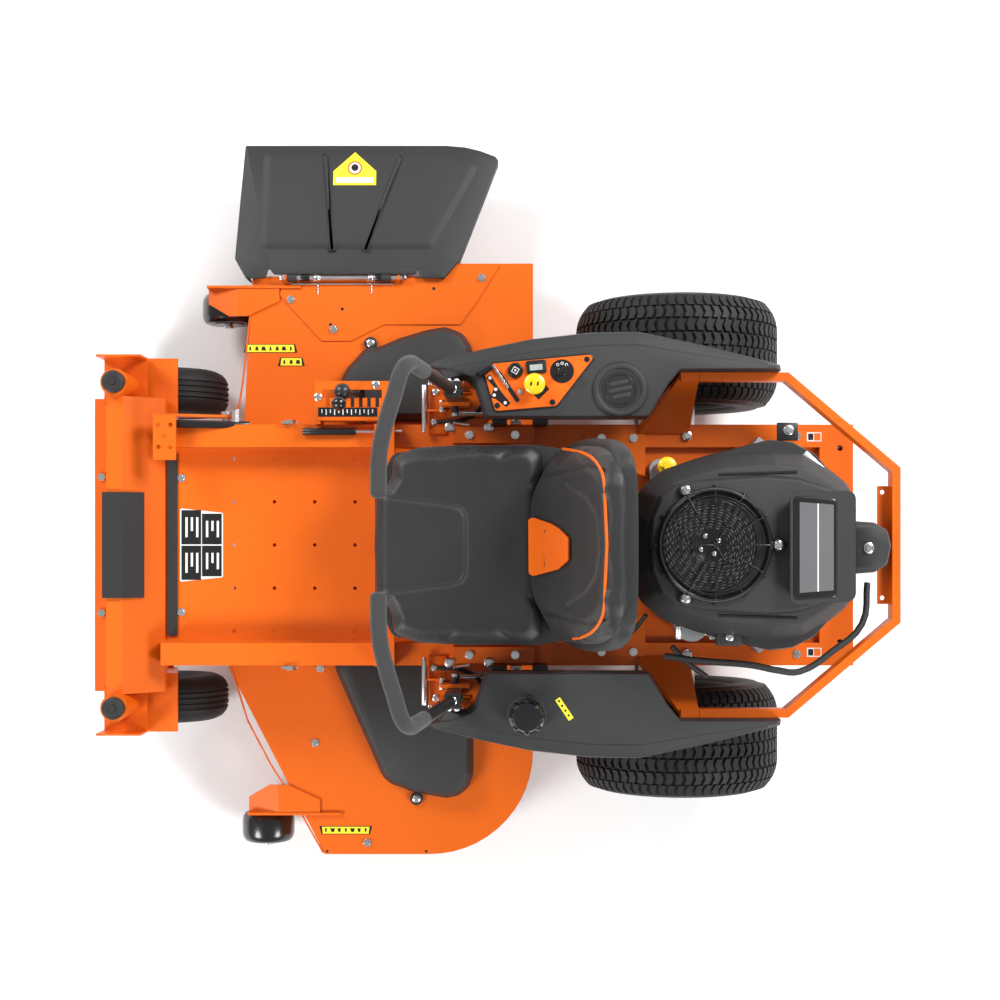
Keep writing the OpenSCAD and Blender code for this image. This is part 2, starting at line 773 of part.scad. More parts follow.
module deck_shell() color(orange) {
    difference() {
        plate(deck_outline, skirt_z, deck_depth);
        plate(inset(deck_outline, deck_t), skirt_z - 1, deck_depth - deck_t + 1);
        for (b = blades) translate([b.x, b.y, deck_top - 20]) cylinder(r = spindle_body_r + 1, h = 30);
        block([chute_x0 + 10, deck_right - 20, skirt_z - 1], [chute_x1, deck_right + 20, deck_top - deck_t]);
    }
    plate([
        [403, deck_right - 26], [chute_x0 - 34, deck_right - 26], [chute_x0 + 2, deck_right + 4],
        [905, deck_right + 4], [912, -577], [815, -472], [748, -472], [672, -510], [495, -510], [454, -567]
    ], deck_top, 3);
    for (x = [hinge_x0, hinge_x1 - ear_t]) hinge_ear(x);
    for (at = roller_places) roller_bracket(at[0], at[1]);
    both_sides() for (x = hanger_x) hanger_bracket(x);
}

hinge_x0 = chute_x0 + 85;
hinge_x1 = chute_x0 + 351;
hinge_y = deck_right + 6;
hinge_z = deck_top + 14;
hinge_r = 5;
ear_t = 6;

module hinge_ear(x) difference() {
    union() {
        block([x, deck_right - 1, deck_top - deck_t], [x + ear_t, deck_right + 14, hinge_z]);
        translate([x, hinge_y, hinge_z]) rotate([0, 90, 0]) cylinder(r = hinge_r + 2, h = ear_t);
    }
    translate([x - 1, hinge_y, hinge_z]) rotate([0, 90, 0]) cylinder(r = hinge_r, h = ear_t + 2);
}

// Each roller is [place, side of its bracket]
roller_w = 72;
roller_z = roller_d / 2 + lift_down + 4;
roller_places = [[[950, deck_left - 53], -1], [[1044, deck_right + 66], 1]];
roller_axle_r = 8;

// The upright plate stands beside the roller; its bent top plate runs towards the deck's middle
module roller_bracket(at, side) {
    y0 = at.y - roller_w / 2 - 8;
    face = side > 0 ? y0 + 6 : y0;
    difference() {
        across([
            [at.x - 181, deck_top], [at.x - 36, deck_top], [at.x - 16, roller_z - 18],
            [at.x + 20, roller_z - 18], [at.x + 36, deck_top - 34], [at.x + 36, deck_top + 8],
            [at.x - 181, deck_top + 8]
        ], y0, y0 + 6);
        axle(at.x, y0 - 1, y0 + 7, roller_z, roller_axle_r);
    }
    intersection() {
        across([
            [at.x - 131, deck_top], [at.x - 34, deck_top], [at.x + 36, deck_top - 20],
            [at.x + 36, deck_top - 15], [at.x - 34, deck_top + 5], [at.x - 131, deck_top + 5]
        ], at.y - 200, at.y + 200);
        plate([
            [at.x - 131, face], [at.x + 36, face], [at.x + 36, face + side * 34],
            [at.x - 14, face + side * 64], [at.x - 58, face + side * 64], [at.x - 131, face + side * 30]
        ], roller_z, 400);
    }
}

// The deck hangs from slotted straps beside the rails
hanger_x = [368, 870];
strap_t = 6;
strap_y = side_y + 1;
bracket_y = strap_y + strap_t;
strap_pin_r = 6;
strap_bolt_z = frame_z + 30;

module hanger_bracket(x) difference() {
    block([x - 18, bracket_y, deck_top - 1], [x + 18, bracket_y + 8, deck_top + 30]);
    axle(x, bracket_y - 1, bracket_y + 9, deck_top + 16, strap_pin_r);
}

module roller(at, side) {
    color(rubber) translate([at.x, at.y, roller_z]) rotate([90, 0, 0]) rotate_extrude() polygon([
        [roller_axle_r + run_gap, -roller_w / 2], [roller_d / 2 - 12, -roller_w / 2],
        [roller_d / 2 - 3, -roller_w / 2 + 8], [roller_d / 2, -roller_w / 2 + 20],
        [roller_d / 2, roller_w / 2 - 20], [roller_d / 2 - 3, roller_w / 2 - 8],
        [roller_d / 2 - 12, roller_w / 2], [roller_axle_r + run_gap, roller_w / 2]
    ]);
}

// The belt covers, seen from above, each about its own spindle
left_cover = [for (q = [
    [-170, -227], [230, -227], [214, -195], [110, 44], [101, 61], [85, 74], [39, 91.5], [0, 100],
    [-42, 107.5], [-58, 107], [-71, 102], [-85, 94], [-95.5, 81], [-103, 67], [-105.5, 51], [-105.5, -31]
]) q + [outer_blade_x, deck_mid_y + blade_pitch]];
right_cover = [for (q = [
    [-170, 102], [-105, -40], [-105, -58], [-103, -67.5], [-91, -91], [-81, -102], [-67, -110],
    [-41, -117], [0.5, -110], [65.5, -91], [112.6, -70.5], [142, -70.5], [150, -66], [166, -42.5],
    [185, -23], [198, 2], [220, 102]
]) q + [outer_blade_x, deck_mid_y - blade_pitch]];
cover_h = 50;

module belt_cover(outline) difference() {
    plate(outline, deck_top + 0.5, cover_h);
    plate(inset(outline, 4), deck_top, cover_h - 4);
}

module belt_covers() color(black_plastic) {
    difference() {
        union() {
            belt_cover(left_cover);
            translate(cover_ear) cylinder(r = 15, h = cover_ear_h);
        }
        block([420, 240, deck_top - 1], [785, 256, deck_top + cover_h - 4]);
    }
    difference() {
        belt_cover(right_cover);
        block([420, -291, deck_top - 1], [780, -279, deck_top + cover_h - 4]);
    }
}

cover_ear = [outer_blade_x + 26, deck_mid_y + blade_pitch + 109, deck_top + 0.5];
cover_ear_h = 5;
deck_bolts = [[819, 285], [831, 458], [710, 689]];
seam_bolts = [[887, -568], [788, -499], [445, -618]];

module deck_hardware() {
    color(black_metal) for (b = blades) translate([b.x, b.y, 0]) difference() {
        union() {
            translate([0, 0, skirt_z + 52]) cylinder(r = spindle_body_r, h = deck_top - skirt_z - 44);
            translate([0, 0, deck_top]) cylinder(r = 68, h = 5);
        }
        translate([0, 0, skirt_z]) cylinder(r = shaft_r + run_gap, h = 200);
    }
    color(zinc) {
        for (b = deck_bolts) bolt([b.x, b.y, deck_top]);
        for (b = seam_bolts) bolt([b.x, b.y, deck_top + 3]);
        bolt(cover_ear + [0, 0, cover_ear_h]);
        both_sides() for (x = hanger_x) hanger(x);
        idler_posts();
    }
    color(zinc) for (place = roller_places) {
        at = place[0];
        axle(at.x, at.y - roller_w / 2 - 14, at.y + roller_w / 2 + 7, roller_z, roller_axle_r);
        axle(at.x, at.y + roller_w / 2 + 2, at.y + roller_w / 2 + 8, roller_z, 12);
        axle(at.x, at.y - roller_w / 2 - 14, at.y - roller_w / 2 - 8, roller_z, 12);
    }
    color(zinc) translate([hinge_x0 - 6, hinge_y, hinge_z]) rotate([0, 90, 0])
        cylinder(r = hinge_r, h = hinge_x1 - hinge_x0 + 12);
}

module hanger(x) {
    difference() {
        block([x - 12, strap_y, deck_top + 2], [x + 12, bracket_y, strap_bolt_z + lift_down + 18]);
        block([x - strap_pin_r - 1, strap_y - 1, strap_bolt_z - lift_up - strap_pin_r - 2],
              [x + strap_pin_r + 1, bracket_y + 1, strap_bolt_z + lift_down + strap_pin_r + 2]);
    }
    axle(x, strap_y - 3, bracket_y + 12, deck_top + 16, strap_pin_r);
}

module deck_belt() color(rubber) belt(deck_pulleys, deck_belt_z);

module blade_set(at) translate([at.x, at.y, 0]) {
    color(black_metal) pulley(deck_pulley_r, deck_belt_z);
    color(zinc) translate([0, 0, cut_height - 12]) cylinder(r = shaft_r, h = deck_belt_z - cut_height + 26);
    color(zinc) translate([0, 0, cut_height + blade_t]) cylinder(r = 22, h = 12);
    color(alloy) difference() {
        union() {
            translate([0, 0, cut_height + blade_t / 2]) cube([57, blade_l, blade_t], center = true);
            for (s = [-1, 1]) translate([-s * 18, s * (blade_l / 2 - 55), cut_height + blade_t])
                rotate([0, s * 25, 0]) translate([-10, -50, -2]) cube([20, 100, blade_t]);
        }
        translate([0, 0, cut_height - 20]) cylinder(r = shaft_r, h = 60);
        difference() {
            translate([0, 0, cut_height - 30]) cylinder(r = blade_l, h = 90);
            translate([0, 0, cut_height - 31]) cylinder(r = blade_l / 2, h = 92);
        }
    }
}

idler_pivot = [idler_x + 90, idler_y + 40];
idler_arm_z = deck_top + 5.3;
idler_arm_t = 6;
idler_post_r = 8;

// The fixed idler's post and pulley, and the post that the sprung idler's arm turns on
module idler_posts() {
    translate([idler_x, -idler_y, deck_top]) cylinder(r = idler_post_r, h = deck_belt_z - deck_top);
    translate([idler_x, -idler_y, 0]) pulley(idler_r, deck_belt_z);
    translate([idler_pivot.x, idler_pivot.y, deck_top]) {
        cylinder(r = idler_post_r, h = 20);
        cylinder(r = 14, h = 5);
        translate([0, 0, 11.6]) cylinder(r = 12, h = 6);
    }
}

module deck_idler() {
    color(black_metal) translate([idler_x, idler_y, 0]) pulley(idler_r, deck_belt_z);
    color(zinc) difference() {
        union() {
            hull() {
                translate([idler_x, idler_y, idler_arm_z]) cylinder(r = 14, h = idler_arm_t, $fn = 24);
                translate([idler_pivot.x, idler_pivot.y, idler_arm_z]) cylinder(r = 14, h = idler_arm_t, $fn = 24);
            }
            translate([idler_x, idler_y, idler_arm_z]) cylinder(r = 9, h = deck_belt_z - idler_arm_z);
        }
        translate([idler_pivot.x, idler_pivot.y, 0])
            cylinder(r = idler_post_r + run_gap, h = 400);
    }
}

// The chute seen from above: two feet reach over the deck on each side of the hinge
foot_y = deck_right + 7;
chute_plan = [
    [chute_x0 - 17, foot_y], [chute_x0 - 50, deck_right - 32], [chute_x0 - 144, chute_outer + 38],
    [chute_x0 - 136, chute_outer + 28], [chute_x0 - 99, chute_outer + 13], [chute_x0 - 64, chute_outer + 4],
    [chute_x0 - 19, chute_outer], [chute_x0 + 452, chute_outer], [chute_x0 + 467, deck_right - 40],
    [chute_x0 + 452, deck_right - 14], [chute_x0 + 440, foot_y], [chute_x0 + 394, foot_y],
    [chute_x0 + 388, deck_right - 20], [chute_x0 + 376, deck_right - 2],
    [chute_x0 + 50, deck_right - 2], [chute_x0 + 44, deck_right - 20], [chute_x0 + 38, foot_y]
];
chute_drop = 74;
chute_skirt = 62;

// A sloping layer of the chute, between two depths below its top
module chute_slab(top, bottom) {
    y0 = foot_y;
    y1 = chute_outer - 1;
    z0 = hinge_z + 4;
    rotate([90, 0, 90]) linear_extrude(3000)
        polygon([[y1, z0 - chute_drop - bottom], [y0, z0 - bottom], [y0, z0 - top], [y1, z0 - chute_drop - top]]);
}

module discharge_chute() color(black_plastic) difference() {
    union() {
        intersection() {
            plate(chute_plan, 0, 400);
            chute_slab(0, chute_t);
        }
        intersection() {
            difference() {
                plate(chute_plan, 0, 400);
                plate(chute_hollow, -1, 402);
            }
            chute_slab(0, chute_skirt);
        }
        for (x = [hinge_x0 + 20, hinge_x1 - 42]) chute_barrel(x);
    }
    translate([hinge_x0 - 30, hinge_y, hinge_z]) rotate([0, 90, 0])
        cylinder(r = hinge_r + run_gap, h = hinge_x1 - hinge_x0 + 60);
}

// The hollow under the chute, open towards the deck and at its low edge
chute_hollow = [
    [chute_x0 - 52, deck_right - 40], [chute_x0 - 134, chute_outer + 38], [chute_x0 - 126, chute_outer - 10],
    [chute_x0 + 446, chute_outer - 10], [chute_x0 + 461, deck_right - 44], [chute_x0 + 461, deck_right + 40],
    [chute_x0 - 52, deck_right + 40]
];

module chute_barrel(x) {
    translate([x, hinge_y, hinge_z]) rotate([0, 90, 0]) cylinder(r = 9, h = 22);
    block([x, deck_right - 8, hinge_z - 5], [x + 22, hinge_y, hinge_z + 3]);
}

// ---- Seat ----

module seat_plate() {
    color(orange) difference() {
        union() {
            block([cushion_rear, -180, seat_hinge_z - seat_plate_t], [seat_hinge_x - 16, 180, seat_hinge_z]);
            for (y = [-146, 134]) {
                block([seat_hinge_x - 20, y, seat_hinge_z - 8], [seat_hinge_x, y + 12, seat_hinge_z + 8]);
                axle(seat_hinge_x, y, y + 12, seat_hinge_z, 11);
            }
        }
        axle(seat_hinge_x, -200, 200, seat_hinge_z, 6);
    }
    color(zinc) both_sides() axle(seat_hinge_x, 130, 162, seat_hinge_z, 6);
    color(black_metal) for (x = [350, 590]) for (y = [-130, 130])
        translate([x, y, seat_hinge_z]) cylinder(r = 16, h = shell_z - seat_hinge_z);
}

// Profile of the seat in X and Z, along which the backrest leans
back_foot = cushion_rear;
function back_point(along, out) =
    [back_foot, cushion_z] + along * [-sin(recline), cos(recline)] + out * [-cos(recline), -sin(recline)];
function back_at(z, out) = back_point((z - cushion_z + out * sin(recline)) / cos(recline), out);

module seat_shell() color(black_plastic) {
    across([
        [cushion_front - 8, shell_z], [cushion_front - 8, shell_z + shell_t],
        back_at(shell_z + shell_t, back_t + seat_gap), back_point(back_h + cushion_h - 8, back_t + seat_gap),
        back_point(back_h + cushion_h - 14, back_t + 24), back_at(shell_z + 40, back_t + 24),
        back_at(shell_z, back_t + 10)
    ], -seat_w / 2 + 14, seat_w / 2 - 14);
}

cushion_plan = [
    [cushion_rear + 1, -seat_w / 2 + 4], [cushion_front - 40, -seat_w / 2], [cushion_front - 12, -seat_w / 2 + 20],
    [cushion_front - 4, -seat_w / 2 + 60], [cushion_front, 0],
    [cushion_front - 4, seat_w / 2 - 60], [cushion_front - 12, seat_w / 2 - 20],
    [cushion_front - 40, seat_w / 2], [cushion_rear + 1, seat_w / 2 - 4]
];

module seat_cushion() color(rubber) plate(cushion_plan, cushion_z, cushion_h);

module seat_backrest() color(rubber) intersection() {
    across([
        back_point(0, 0), back_point(back_h + cushion_h, 0), back_point(back_h + cushion_h, back_t), back_point(0, back_t)
    ], -seat_w / 2 + 4, seat_w / 2 - 4);
    translate([-200, 0, 0]) rotate([90, 0, 90]) linear_extrude(900) polygon([
        [-seat_w / 2 + 2, cushion_z], [seat_w / 2 - 2, cushion_z], [seat_w / 2 - 2, cushion_z + 300],
        [seat_w / 2 - 26, cushion_z + back_h + 30], [seat_w / 2 - 66, cushion_z + back_h + cushion_h],
        [-seat_w / 2 + 66, cushion_z + back_h + cushion_h], [-seat_w / 2 + 26, cushion_z + back_h + 30],
        [-seat_w / 2 + 2, cushion_z + 300]
    ]);
}

module battery() color(black_plastic) {
    block([312, -85, frame_z + 44], [488, 85, frame_z + 150]);
    for (y = [-60, 60]) translate([340, y, frame_z + 150]) cylinder(r = 8, h = 14);
}

// ---- Controls ----

module control_brackets() color(orange) {
    both_sides() {
        difference() {
            block([arm_x - 70, rail_y + 18, rail_top], [arm_x + 60, arm_y + 42, rail_top + 5]);
            block([arm_x - 71, rod_y - 9, rail_top - 1], [arm_x - 20, rod_y + 9, rail_top + 6]);
        }
        for (y = [arm_y - arm_t / 2 - 8 - seat_gap, arm_y + arm_t / 2 + seat_gap]) difference() {
            block([arm_x - 32, y, rail_top + 5], [arm_x + 32, y + 8, arm_z + 20]);
            axle(arm_x, y - 1, y + 9, arm_z, arm_pin_r + run_gap);
            block([arm_x - 33, y - 1, arm_z - rod_drop - 13], [arm_x + 24, y + 9, arm_z - rod_drop + 13]);
        }
    }
    difference() {
        union() {
            block([index_x - 82, index_y - 43, index_z], [index_x + 82, index_y + 43, index_z + 5]);
            block([index_x - 82, index_y + 38, index_z - 46], [index_x + 82, index_y + 43, index_z]);
            block([index_x - 82, index_y - 43, index_z - 46], [index_x + 82, index_y - 38, index_z]);
            block([index_x + 70, -side_y - 12, frame_z + 20], [index_x + 82, -side_y, index_z + 2]);
            block([index_x - 82, -side_y - 12, frame_z + 20], [index_x - 70, -side_y, index_z + 2]);
        }
        block([index_x - 64, index_y - 24, index_z - 1], [index_x + 64, index_y - 6, index_z + 6]);
        for (i = [0:6]) translate([index_x - 58 + 18 * i, index_y, index_z])
            block([0, -12, -1], [8, 14, 6]);
        axle(lever_x, index_y - 50, index_y + 50, lever_z, lever_pin_r + run_gap);
    }
}

arm_pin_r = 8;
swing_pin_r = 6;
rod_pin_r = 5;

module swing_axle(r, half) translate([arm_x - half, arm_y, swing_z]) rotate([0, 90, 0])
    cylinder(r = r, h = 2 * half);

module control_arm() {
    color(black_metal) difference() {
        block([arm_x - 16, arm_y - arm_t / 2, arm_z - rod_drop - 12], [arm_x + 16, arm_y + arm_t / 2, swing_z + 16]);
        axle(arm_x, arm_y - 40, arm_y + 40, arm_z, arm_pin_r);
        swing_axle(swing_pin_r + run_gap, 30);
        block([arm_x - 11, arm_y - 30, swing_z - 16], [arm_x + 11, arm_y + 30, swing_z + 20]);
    }
    color(zinc) {
        axle(arm_x, arm_y - 34, arm_y + 34, arm_z, arm_pin_r);
        axle(arm_x, rod_y - 7, arm_y - arm_t / 2, arm_z - rod_drop, rod_pin_r);
    }
}

bar_path = [
    [arm_x, arm_y, swing_z + 40], [arm_x + 76, arm_y + 32, bar_top - 34],
    [arm_x + 92, arm_y + 18, bar_top - 6], [arm_x + 138, 172, bar_top + 4], [arm_x + 140, grip_end_y, bar_top + 4]
];

module lap_bar() {
    color(black_metal) {
        difference() {
            union() {
                block([arm_x - 10.5, arm_y - swing_r + 0.5, swing_z], [arm_x + 10.5, arm_y + swing_r - 0.5, swing_z + 30]);
                swing_axle(swing_r, 10.5);
            }
            swing_axle(swing_pin_r, 30);
        }
        block([arm_x - 16, arm_y - 16, swing_z + 22], [arm_x + 16, arm_y + 16, swing_z + 58]);
        rod(bar_path[0], bar_path[1], bar_d / 2);
    }
    color(zinc) swing_axle(swing_pin_r, 20);
}

module grip() color(rubber) difference() {
    union() {
        for (i = [1:3]) rod(bar_path[i], bar_path[i + 1], grip_d / 2);
        for (i = [2:3]) translate(bar_path[i]) sphere(r = grip_d / 2 + 0.4);
    }
    rod(bar_path[0], bar_path[1], bar_d / 2);
}

rod_z = frame_z - 8;

// The rod's rear end is a long slot that slides over the pump's pin
module control_rod() color(zinc) difference() {
    union() {
        rod([arm_x, rod_y, arm_z - rod_drop], [rod_rear + 52, rod_y, rod_z], 5);
        axle(arm_x, rod_y - 6, rod_y + 6, arm_z - rod_drop, 11);
        block([rod_rear - 10, rod_y - 4, rod_z - 14], [rod_rear + 56, rod_y + 4, rod_z + 14]);
    }
    axle(arm_x, rod_y - 10, rod_y + 10, arm_z - rod_drop, rod_pin_r + run_gap);
    block([rod_rear - 2, rod_y - 10, rod_z - 8], [rod_rear + 46, rod_y + 10, rod_z + 8]);
}

pedal_pin_r = 9;

module lift_pedal() {
    color(orange) {
        difference() {
            across([
                [pedal_x - 18, pedal_z - 14], [pedal_x + 10, pedal_z - 16], [beam_rear + 8, pedal_z + 52],
                [beam_rear + 8, pedal_z + 72], [pedal_x - 18, pedal_z + 14]
            ], -pedal_y - 6, -pedal_y);
            axle(pedal_x, -pedal_y - 10, -pedal_y + 10, pedal_z, pedal_pin_r + run_gap);
        }
        difference() {
            block([beam_rear - 42, -pedal_y - 2, pedal_z + 66], [beam_rear + 8, -bay_y + 30, pedal_z + 72]);
            for (p = [[-30, 20], [-4, 20], [-17, 44], [-30, 68], [-4, 68]])
                translate([beam_rear + p.x, -pedal_y + p.y, pedal_z + 60]) cylinder(r = 5, h = 20);
        }
    }
}

lever_x = index_x - 19;
lever_z = index_z - 26;
lever_pin_r = 6;

module height_lever() {
    base = [lever_x, index_y - 15, lever_z];
    color(black_metal) rod(base, base + [34, 0, 76], 5);
    color(zinc) axle(base.x, index_y - 47, index_y + 47, base.z, lever_pin_r);
    color(black_plastic) translate(base + [36, 0, 84]) sphere(r = 18);
}

module ignition_key() color(zinc) translate([key_at.x, key_at.y, panel_z]) {
    translate([0, 0, -20]) cylinder(r = control_hole_r - run_gap, h = 30);
    color(black_plastic) block([-12, -3, 9], [12, 3, 30]);
}

module pto_knob() color(yellow) translate([pto_at.x, pto_at.y, panel_z]) {
    translate([0, 0, -20]) cylinder(r = control_hole_r - run_gap, h = 36);
    translate([0, 0, 16]) cylinder(r = 20, h = 14);
}

// The lever leans towards the front of its slot
module choke_lever() translate([choke_at.x, choke_at.y, panel_z]) rotate([0, 0, choke_turn]) {
    color(zinc) {
        across([[-4, -16], [4, -16], [-26, 22], [-32, 22]], -2, 2);
        axle(0, -11, 11, -14, 4);
    }
    color(black_plastic) rod([-28, 0, 20], [-48, 0, 38], 8);
}

module frame_bolts() color(zinc) {
    chassis_bolts();
    axle(pedal_x, -pedal_y - 12, -side_y, pedal_z, pedal_pin_r);
    axle(pedal_x, -pedal_y - 14, -pedal_y - 7, pedal_z, 13);
}

module chassis_bolts() both_sides() {
    for (x = [370, 470]) bolt([x, rail_y, rail_top + 34]);
    for (x = hanger_x) {
        axle(x, side_y, bracket_y + 3, strap_bolt_z, strap_pin_r);
        axle(x, bracket_y + 1, bracket_y + 6, strap_bolt_z, 12);
    }
    for (x = [180, 110]) bolt([x, 235, rail_top + 5]);
    bolt([beam_rear - 35, 150, pan_z + pan_t]);
    bolt([-250, rail_y, rail_top]);
    translate([front_x - 16, 152, frame_z + 13.4]) cylinder(r = 9, h = 5, $fn = 6);
}

placed() main_frame();
placed() front_beam();
placed() floor_pan();
placed() rubber_trim();
placed() rear_guard();
placed() fuel_tank();
placed() console_fender();
placed() console_panel();
placed() engine_block();
placed() blower_housing();
placed() fan_guard();
placed() air_cleaner();
placed() muffler();
placed() transaxles();
placed() traction_belt();
placed() battery();
placed() control_brackets();
placed() frame_bolts();
placed() seat_plate();
placed() seat_cushion();
placed() seat_backrest();
placed() seat_shell();
placed() control_arm();  // control_arm_left
placed() mirror([0, 1, 0]) control_arm();  // control_arm_right
placed() lap_bar();  // lap_bar_left
placed() mirror([0, 1, 0]) lap_bar();  // lap_bar_right
placed() grip();  // grip_left
placed() mirror([0, 1, 0]) grip();  // grip_right
placed() control_rod();  // control_rod_left
placed() mirror([0, 1, 0]) control_rod();  // control_rod_right
placed() caster_fork();  // caster_fork_left
placed() mirror([0, 1, 0]) caster_fork();  // caster_fork_right
placed() caster_rim();  // caster_rim_left
placed() mirror([0, 1, 0]) caster_rim();  // caster_rim_right
placed() caster_tyre();  // caster_tyre_left
placed() mirror([0, 1, 0]) caster_tyre();  // caster_tyre_right
placed() rear_rim();  // rear_rim_left
placed() mirror([0, 1, 0]) rear_rim();  // rear_rim_right
placed() rear_tyre();  // rear_tyre_left
placed() mirror([0, 1, 0]) rear_tyre();  // rear_tyre_right
placed() deck_shell();
placed() belt_covers();
placed() deck_hardware();
placed() deck_belt();
placed() blade_set(blades[0]);  // blade_middle
placed() blade_set(blades[1]);  // blade_left
placed() blade_set(blades[2]);  // blade_right
placed() deck_idler();
placed() roller(roller_places[0][0], roller_places[0][1]);  // roller_left
placed() roller(roller_places[1][0], roller_places[1][1]);  // roller_right
placed() discharge_chute();
placed() lift_pedal();
placed() height_lever();
placed() crankshaft();
placed() fan_screen();
placed() ignition_key();
placed() pto_knob();
placed() choke_lever();
placed() fuel_cap();
placed() dipstick_cap();
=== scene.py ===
"""Looks of the zero turn mower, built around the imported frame."""

import json
import logging
import math
from contextlib import contextmanager
from dataclasses import dataclass, field
from enum import Enum
from typing import Callable, Iterator, Sequence

import bmesh
import bpy
import numpy as np
from bmesh.types import BMesh
from mathutils import Matrix, Vector
from mathutils.bvhtree import BVHTree


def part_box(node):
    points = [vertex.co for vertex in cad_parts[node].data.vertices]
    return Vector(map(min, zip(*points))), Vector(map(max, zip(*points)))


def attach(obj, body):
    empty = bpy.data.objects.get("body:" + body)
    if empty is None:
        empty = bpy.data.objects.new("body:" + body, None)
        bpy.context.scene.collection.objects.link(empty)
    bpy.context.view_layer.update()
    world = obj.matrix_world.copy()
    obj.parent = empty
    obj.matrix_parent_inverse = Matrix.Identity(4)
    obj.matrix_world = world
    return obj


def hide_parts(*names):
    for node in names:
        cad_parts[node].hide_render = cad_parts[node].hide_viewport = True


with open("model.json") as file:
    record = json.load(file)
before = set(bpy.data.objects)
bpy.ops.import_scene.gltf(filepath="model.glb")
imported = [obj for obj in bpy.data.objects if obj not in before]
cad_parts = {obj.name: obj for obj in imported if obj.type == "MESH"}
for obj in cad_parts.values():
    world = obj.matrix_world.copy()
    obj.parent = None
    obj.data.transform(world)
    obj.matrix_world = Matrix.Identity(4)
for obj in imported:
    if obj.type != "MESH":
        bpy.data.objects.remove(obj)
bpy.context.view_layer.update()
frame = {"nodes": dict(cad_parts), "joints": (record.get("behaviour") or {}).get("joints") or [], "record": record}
log = logging.getLogger("mower")

Point = tuple[float, float, float]
Flat = tuple[float, float]
MM = 0.001


class Slot(Enum):
    """The record's material slots."""

    ORANGE = "orange_paint"
    PLASTIC = "black_plastic"
    METAL = "black_metal"
    VINYL = "vinyl"
    FOAM = "foam"
    RUBBER = "rubber"
    TYRE = "tyre"
    ZINC = "zinc"
    ALLOY = "alloy"
    YELLOW = "yellow_plastic"


class Axis(Enum):
    """A direction of the machine."""

    X = (1.0, 0.0, 0.0)
    Y = (0.0, 1.0, 0.0)
    Z = (0.0, 0.0, 1.0)


# ---- Finishes ----


def group_socket(tree: bpy.types.NodeTree, name: str, kind: str, out: bool, value: object = None) -> None:
    """Adds one named socket to a node group.

    Args:
        tree: the group's tree.
        name: the socket's name.
        kind: the socket's type, such as NodeSocketFloat.
        out: True for an output.
        value: the default value, if any.
    """
    made = tree.interface.new_socket(name=name, in_out="OUTPUT" if out else "INPUT", socket_type=kind)
    if value is not None:
        made.default_value = value


def mottled_group() -> bpy.types.NodeTree:
    """Returns the group that varies a colour and a roughness over a surface.

    Returns:
        The node group, with Colour, Shade, Scale, Roughness and Spread in, Colour and Roughness out.
    """
    tree = bpy.data.node_groups.new("mottled", "ShaderNodeTree")
    group_socket(tree, "Colour", "NodeSocketColor", False)
    group_socket(tree, "Shade", "NodeSocketFloat", False, 0.1)
    group_socket(tree, "Scale", "NodeSocketFloat", False, 6.0)
    group_socket(tree, "Roughness", "NodeSocketFloat", False, 0.5)
    group_socket(tree, "Spread", "NodeSocketFloat", False, 0.1)
    group_socket(tree, "Colour", "NodeSocketColor", True)
    group_socket(tree, "Roughness", "NodeSocketFloat", True)
    nodes, links = tree.nodes, tree.links
    given = nodes.new("NodeGroupInput")
    result = nodes.new("NodeGroupOutput")
    where = nodes.new("ShaderNodeTexCoord")
    broad = nodes.new("ShaderNodeTexNoise")
    broad.inputs["Detail"].default_value = 6.0
    fine = nodes.new("ShaderNodeTexNoise")
    fine.inputs["Scale"].default_value = 90.0
    fine.inputs["Detail"].default_value = 3.0
    links.new(where.outputs["Object"], broad.inputs["Vector"])
    links.new(where.outputs["Object"], fine.inputs["Vector"])
    links.new(given.outputs["Scale"], broad.inputs["Scale"])
    both = nodes.new("ShaderNodeMath")
    both.operation = "MULTIPLY_ADD"
    both.inputs[1].default_value = 0.35
    links.new(fine.outputs["Fac"], both.inputs[0])
    links.new(broad.outputs["Fac"], both.inputs[2])
    centred = nodes.new("ShaderNodeMath")
    centred.operation = "SUBTRACT"
    centred.inputs[1].default_value = 0.675
    links.new(both.outputs[0], centred.inputs[0])
    swing = nodes.new("ShaderNodeMath")
    swing.operation = "MULTIPLY_ADD"
    swing.inputs[2].default_value = 1.0
    links.new(centred.outputs[0], swing.inputs[0])
    links.new(given.outputs["Shade"], swing.inputs[1])
    shaded = nodes.new("ShaderNodeVectorMath")
    shaded.operation = "SCALE"
    links.new(given.outputs["Colour"], shaded.inputs[0])
    links.new(swing.outputs[0], shaded.inputs["Scale"])
    rough = nodes.new("ShaderNodeMath")
    rough.operation = "MULTIPLY_ADD"
    rough.use_clamp = True
    links.new(centred.outputs[0], rough.inputs[0])
    links.new(given.outputs["Spread"], rough.inputs[1])
    links.new(given.outputs["Roughness"], rough.inputs[2])
    links.new(shaded.outputs[0], result.inputs["Colour"])
    links.new(rough.outputs[0], result.inputs["Roughness"])
    return tree


